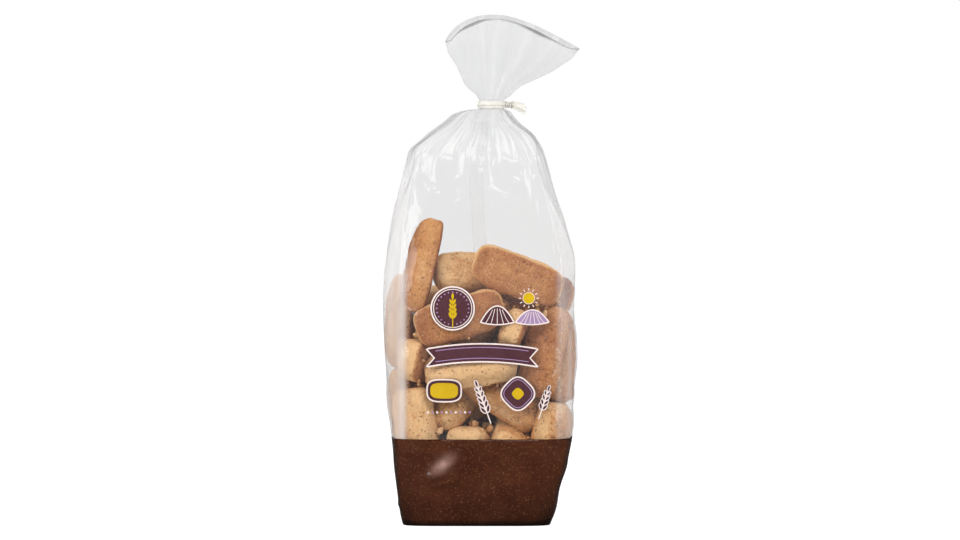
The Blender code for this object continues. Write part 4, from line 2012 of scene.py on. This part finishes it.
    def sun(self, x: float, z: float, radius: float, rays: int) -> None:
        """Draws a small sun with short rays.

        Args:
            x: its centre.
            z: its centre.
            radius: its radius.
            rays: how many rays.
        """
        disc = self.oval(x, z, radius, radius)
        self.fill(self.yellow, disc)
        self.line(self.cream, disc, 0.7)
        for turn in np.arange(rays) * math.tau / rays:
            way = np.array([math.cos(turn), math.sin(turn)])
            ends = np.array([x, z]) + way * np.linspace(1.35, 1.8, 4)[:, None] * radius
            self.line(self.cream, ends, 0.6, closed=False)

    def wheat(
        self, ink: Ink, x: float, z: float, turn: float, size: float, pairs: int, outlined: bool
    ) -> None:
        """Draws an ear of wheat.

        Args:
            ink: the colour of its grains.
            x: the foot of the ear.
            z: the foot of the ear.
            turn: which way it grows, in degrees from straight up, to the left if positive.
            size: the length of one grain.
            pairs: how many pairs of grains.
            outlined: whether each grain has a line round it.
        """
        lean = math.radians(turn)
        up = np.array([-math.sin(lean), math.cos(lean)])
        side = np.array([math.cos(lean), math.sin(lean)])
        foot = np.array([x, z])
        tip = foot + up * size * (0.72 * pairs + 0.5)
        stalk = foot + up[None] * np.linspace(-1.6 * size, 0.72 * pairs * size, 14)[:, None]
        self.line(self.cream if outlined else ink, stalk, 0.16 * size, closed=False)
        grains = []
        for pair in range(pairs):
            shrink = 1.0 - 0.07 * pair
            wide, high = 0.24 * size * shrink, 0.52 * size * shrink
            for way in (-1.0, 1.0):
                middle = foot + up * size * (0.72 * pair + 0.4) + side * way * size * 0.34 * shrink
                grains.append(self.oval(*middle, wide, high, turn - way * 26.0))
        grains.append(self.oval(*tip, 0.2 * size, 0.5 * size, turn))
        for grain in grains:
            self.fill(ink, grain)
            if outlined:
                self.line(self.cream, grain, 0.13 * size)

    def ribbon(self, left: float, right: float, z: float, high: float, arch: float) -> None:
        """Draws a bare, gently arched ribbon with notched ends.

        Args:
            left: its left end.
            right: its right end.
            z: the height of its middle at its ends.
            high: its height.
            arch: how far its middle rises above its ends.
        """
        notch = 0.45 * high
        across = np.linspace(left, right, 72)
        share = (across - left) / (right - left) * 2.0 - 1.0
        rise = z + arch * (1.0 - share**2)
        lower = np.stack([across, rise - 0.5 * high], axis=-1)
        upper = np.stack([across, rise + 0.5 * high], axis=-1)[::-1]
        outline = np.concatenate([lower, [[right - notch, z]], upper, [[left + notch, z]]])
        self.fill(self.plum, outline)
        self.line(self.cream, outline, self.outline_width)
        for offset in (-0.3, 0.3):
            inner = np.stack([across[6:-6], rise[6:-6] + offset * high], axis=-1)
            self.line(self.lilac, inner, 0.5, closed=False)

    def draw(self) -> None:
        """Lays out the whole print."""
        turn = np.arange(24) * math.tau / 24
        medallion = np.array([-17.0, 141.0])
        self.badge(self.oval(*medallion, 13.8, 13.8), self.plum, self.cream, 1.5)
        around = medallion + 10.4 * np.stack([np.cos(turn), np.sin(turn)], axis=-1)
        self.dots((self.lilac,), around, 0.5)
        self.wheat(self.yellow, -17.0, 134.9, 0.0, 4.1, 4, outlined=False)
        self.hill(self.plum, 1.0, 22.5, 132.0, 10.5, 5)
        self.hill(self.lilac, 23.5, 45.0, 132.0, 8.0, 6)
        self.sun(32.0, 147.5, 3.6, 12)
        self.ribbon(-34.0, 38.0, 109.0, 11.6, 3.4)
        self.badge(self.oval(-22.5, 88.0, 11.0, 7.2, 0.0, 3.2), self.plum, self.plum, 1.7)
        self.fill(self.yellow, self.oval(-22.5, 88.0, 8.9, 5.1, 0.0, 3.2))
        self.badge(self.oval(25.0, 86.0, 9.6, 9.6, 45.0, 3.0), self.plum, self.lilac, 1.7)
        self.fill(self.yellow, self.oval(25.0, 86.0, 3.4, 3.4, 45.0, 3.0))
        self.wheat(self.plum, 5.0, 74.0, 20.0, 4.8, 5, outlined=True)
        self.wheat(self.plum, 40.5, 76.0, -18.0, 4.2, 4, outlined=True)
        row = np.stack([np.linspace(-33.0, -6.0, 10), np.full(10, 74.0)], axis=-1)
        self.dots((self.cream, self.lilac), row, 0.75)

    def build(self) -> list[Object]:
        """Draws the print and lays it on the film.

        Returns:
            One piece for each colour.
        """
        self.draw()
        pieces = []
        for ink in (self.plum, self.lilac, self.cream, self.yellow):
            flat = np.concatenate(ink.points)
            points = []
            for x, z in flat:
                start = Vector((x, -self.far, z))
                place, normal, _, _ = self.tree.ray_cast(start, Vector((0.0, 1.0, 0.0)), self.far)
                points.append(np.array(place) + np.array(normal) * ink.proud)
            name = f"print_{ink.colour.name.lower()}"
            pieces.append(make_object(name, np.array(points), ink.faces, ink.colour.value.build()))
        return pieces


# ---- the tie


@dataclass
class TwistTie:
    """A wired plastic strip: round the neck, twisted on itself, with two loose ends."""

    form: BagForm
    finish: TieFinish = field(default_factory=TieFinish)
    width: float = 5.0
    film: float = 0.16
    wire: float = 0.5
    middle: float = 273.0
    gap: float = 0.75
    stem_start: float = 16.9
    stem_length: float = 4.2
    half_turns: float = 2.5
    strand: float = 0.62
    tails: tuple[Triple, ...] = ((9.4, -1.6, -4.0), (7.8, 4.6, -1.4))
    open_angle: float = math.radians(10.0)
    sharp_from: float = math.radians(50.0)
    bead_from: float = 0.35
    steps: int = 26

    def tail(self, reach: float, side: float, rise: float, way: float) -> tuple[Array, Array]:
        """Lays one loose end.

        Args:
            reach: how far it reaches along X.
            side: how far it swings towards the back.
            rise: how far it rises.
            way: which strand it is, 1 or -1.

        Returns:
            Its points and the ways its width points, from the twist to the tip.
        """
        share = np.linspace(0.0, 1.0, self.steps)
        start = self.stem_start + self.stem_length
        y = side * share**2 + way * self.strand * (1.0 - share)
        points = np.stack([start + reach * share, y, self.middle + rise * share**1.4], axis=-1)
        heading = unit(np.gradient(points, axis=0))
        across = unit(np.array([0.0, 0.0, 1.0]) - heading * heading[:, 2:3])
        return points, across

    def strand_path(self, way: float) -> tuple[Array, Array]:
        """Lays one strand of the twist.

        Args:
            way: which strand it is, 1 or -1.

        Returns:
            Its points and the ways its width points, from the neck outwards.
        """
        share = np.linspace(0.0, 1.0, self.steps)
        turn = share * self.half_turns * math.pi
        across = np.stack([np.zeros(self.steps), np.sin(turn), np.cos(turn)], axis=-1)
        off = np.stack([np.zeros(self.steps), np.cos(turn), -np.sin(turn)], axis=-1)
        off = off * way * self.strand
        line = np.array([[self.stem_start, 0.0, self.middle]]).repeat(self.steps, axis=0)
        line[:, 0] += share * self.stem_length
        return line + off, across

    def route(self) -> tuple[Array, Array]:
        """Lays the whole strip, from one tip round the neck to the other.

        Returns:
            The points along its middle and the ways its width points.
        """
        form = self.form
        angle = np.linspace(self.open_angle, math.tau - self.open_angle, 4 * self.steps)
        reach_x = form.neck_half_width + form.pleat_neck + self.gap
        reach_y = form.neck_half_depth + form.pleat_neck + self.gap
        x, y = form.neck_centre + np.cos(angle) * reach_x, np.sin(angle) * reach_y
        loop = np.stack([x, y, np.full(len(angle), self.middle)], axis=-1)
        upright = np.tile([0.0, 0.0, 1.0], (len(angle), 1))
        (front, front_across), (back, back_across) = (self.strand_path(way) for way in (-1.0, 1.0))
        front_tail, front_tail_across = self.tail(*self.tails[0], way=-1.0)
        back_tail, back_tail_across = self.tail(*self.tails[1], way=1.0)
        flip = math.copysign(1.0, math.cos(self.half_turns * math.pi + 1e-9))
        points = np.concatenate([back_tail[::-1], back[::-1], loop, front, front_tail])
        first, last = flip * back_tail_across[::-1], flip * front_tail_across
        across = np.concatenate([first, back_across[::-1], upright, front_across, last])
        for _ in range(6):
            points[1:-1] = 0.25 * points[:-2] + 0.5 * points[1:-1] + 0.25 * points[2:]
            across[1:-1] = 0.25 * across[:-2] + 0.5 * across[1:-1] + 0.25 * across[2:]
        return points, unit(across)

    def section(self) -> Array:
        """Draws the strip's section: thin wings with the wire's round bead in the middle.

        Returns:
            Pairs of places across and out of the strip, in order round it.
        """
        half, thin = 0.5 * self.width, 0.5 * self.film
        turns = np.linspace(self.bead_from, math.pi - self.bead_from, 7)
        bead = [(self.wire * math.cos(turn), self.wire * math.sin(turn)) for turn in turns]
        upper = [(half, thin * 0.6), (half * 0.7, thin), (self.wire * 1.5, thin)] + bead
        upper += [(-self.wire * 1.5, thin), (-half * 0.7, thin), (-half, thin * 0.6)]
        lower = [(-across, -out) for across, out in upper]
        return np.array(upper + lower)

    def build(self) -> Object:
        """Sweeps the section along the route.

        Returns:
            The piece.
        """
        centres, across = self.route()
        heading = unit(np.gradient(centres, axis=0))
        across = unit(across - heading * (across * heading).sum(axis=1, keepdims=True))
        out = np.cross(across, heading)
        section = self.section()
        grid = centres[:, None] + across[:, None] * section[None, :, :1]
        grid = grid + out[:, None] * section[None, :, 1:]
        rows, count = grid.shape[:2]
        first, last = list(range(count)), list(range((rows - 1) * count, rows * count))
        faces = [*ring_faces(rows, count).tolist(), first[::-1], last]
        piece = make_object("twist_tie", grid.reshape(-1, 3), faces, self.finish.build())
        piece.data.set_sharp_from_angle(angle=self.sharp_from)
        return piece


# ---- the studio


@dataclass
class Studio:
    """The camera, the pale floor and the soft light."""

    lens: float = 150.0
    distance: float = 2.613
    rise: float = math.radians(0.8)
    aim: Triple = (0.0006, 0.0, 0.1652)
    backdrop: float = 0.75
    room: float = 0.1
    floor_half: float = 6000.0
    lit: Triple = (0.0, 0.0, 0.15)
    glass_layers: int = 24

    def build_camera(self) -> None:
        """Stands the camera in front of the bag, almost level with its middle."""
        data = bpy.data.cameras.new("camera")
        data.lens = self.lens
        camera = bpy.data.objects.new("camera", data)
        bpy.context.scene.collection.objects.link(camera)
        aim = Vector(self.aim)
        back = Vector((0.0, -math.cos(self.rise), math.sin(self.rise)))
        camera.location = aim + back * self.distance
        camera.rotation_euler = (aim - camera.location).to_track_quat("-Z", "Y").to_euler()
        bpy.context.scene.camera = camera

    def build_floor(self) -> Object:
        """Lays the floor.

        Returns:
            The floor, which isn't part of the bag.
        """
        corners = np.array([[-1.0, -1.0, 0.0], [1.0, -1.0, 0.0], [1.0, 1.0, 0.0], [-1.0, 1.0, 0.0]])
        faces = [[0, 1, 2, 3]]
        return make_object("studio_floor", corners * self.floor_half, faces, FloorFinish().build())

    def build_light(self, name: str, place: tuple, wide: float, high: float, power: float) -> None:
        """Hangs one soft box that faces the bag.

        Args:
            name: its name.
            place: where it hangs, in metres.
            wide: its width in metres.
            high: its height in metres.
            power: its power in watts.
        """
        data = bpy.data.lights.new(name, "AREA")
        data.shape = "RECTANGLE"
        data.size, data.size_y, data.energy = wide, high, power
        light = bpy.data.objects.new(name, data)
        light.location = place
        way = Vector(self.lit) - light.location
        light.rotation_euler = way.to_track_quat("-Z", "Y").to_euler()
        bpy.context.scene.collection.objects.link(light)

    def build_world(self) -> None:
        """Surrounds the bag with a white backdrop, bright behind it and dim in front."""
        world = bpy.data.worlds.new("studio")
        world.use_nodes = True
        world.node_tree.nodes.clear()
        bpy.context.scene.world = world
        graph = Graph(world.node_tree)
        sky = graph.add("ShaderNodeTexCoord").outputs["Generated"]
        way = graph.add("ShaderNodeSeparateXYZ", {"Vector": sky})
        behind = graph.ramp(way.outputs["Y"], -0.7, 0.1)
        strength = graph.math("MULTIPLY_ADD", behind, self.backdrop - self.room, self.room)
        seen = graph.add("ShaderNodeLightPath").outputs["Is Camera Ray"]
        dim = graph.add("ShaderNodeBackground", {"Color": WHITE, "Strength": strength})
        bright = graph.add("ShaderNodeBackground", {"Color": WHITE, "Strength": 1.0})
        backdrop = {0: seen, 1: dim.outputs[0], 2: bright.outputs[0]}
        graph.show(graph.add("ShaderNodeMixShader", backdrop), "ShaderNodeOutputWorld")

    def build(self) -> None:
        """Makes everything that isn't the bag."""
        self.build_camera()
        self.build_floor()
        self.build_light("left_box", (-1.05, -0.8, 0.7), 0.7, 1.0, 11.0)
        self.build_light("right_box", (1.1, -0.6, 0.5), 0.5, 1.0, 6.0)
        self.build_light("front_box", (0.1, -1.1, 1.5), 1.2, 0.9, 17.0)
        self.build_world()
        scene = bpy.context.scene
        scene.view_settings.view_transform = "Standard"
        scene.cycles.transparent_max_bounces = self.glass_layers
        LOG.info("studio built")


# ---- all together


def attach(piece: Object, replaced: str) -> None:
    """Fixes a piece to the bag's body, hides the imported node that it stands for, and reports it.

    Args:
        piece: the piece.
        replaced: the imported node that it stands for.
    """
    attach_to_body(piece, BODY)
    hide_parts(replaced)
    LOG.info("%s: %d faces", piece.name, len(piece.data.polygons))


def main() -> None:
    """Builds the bag, its contents and the studio."""
    logging.basicConfig(level=logging.INFO, format="%(message)s")
    for build_effect in (build_speckle, build_mottle, build_crinkle):
        build_effect()
    Studio().build()
    form = BagForm()
    heap = Heap(form, BiscuitForm())
    heap.settle()
    biscuits = BiscuitMaker(heap)
    pieces = biscuits.build()
    tree = tree_of(biscuits.smooth, biscuits.faces)
    pieces.append(Crumbs(form, tree).build(pieces[0].data.materials[0]))
    for piece in pieces:
        attach(piece, "bag")
    film = FilmMaker(form)
    film.drape(tree)
    attach(film.build_film(), "bag")
    attach(film.build_foot(), "bag")
    front = film.sheet[: film.body_rows]
    artwork = Artwork(tree_of(front.reshape(-1, 3), ring_faces(len(front), film.columns)))
    for piece in artwork.build():
        attach(piece, "bag")
    attach(TwistTie(form).build(), "tie")


if __name__ == "__main__":
    main()
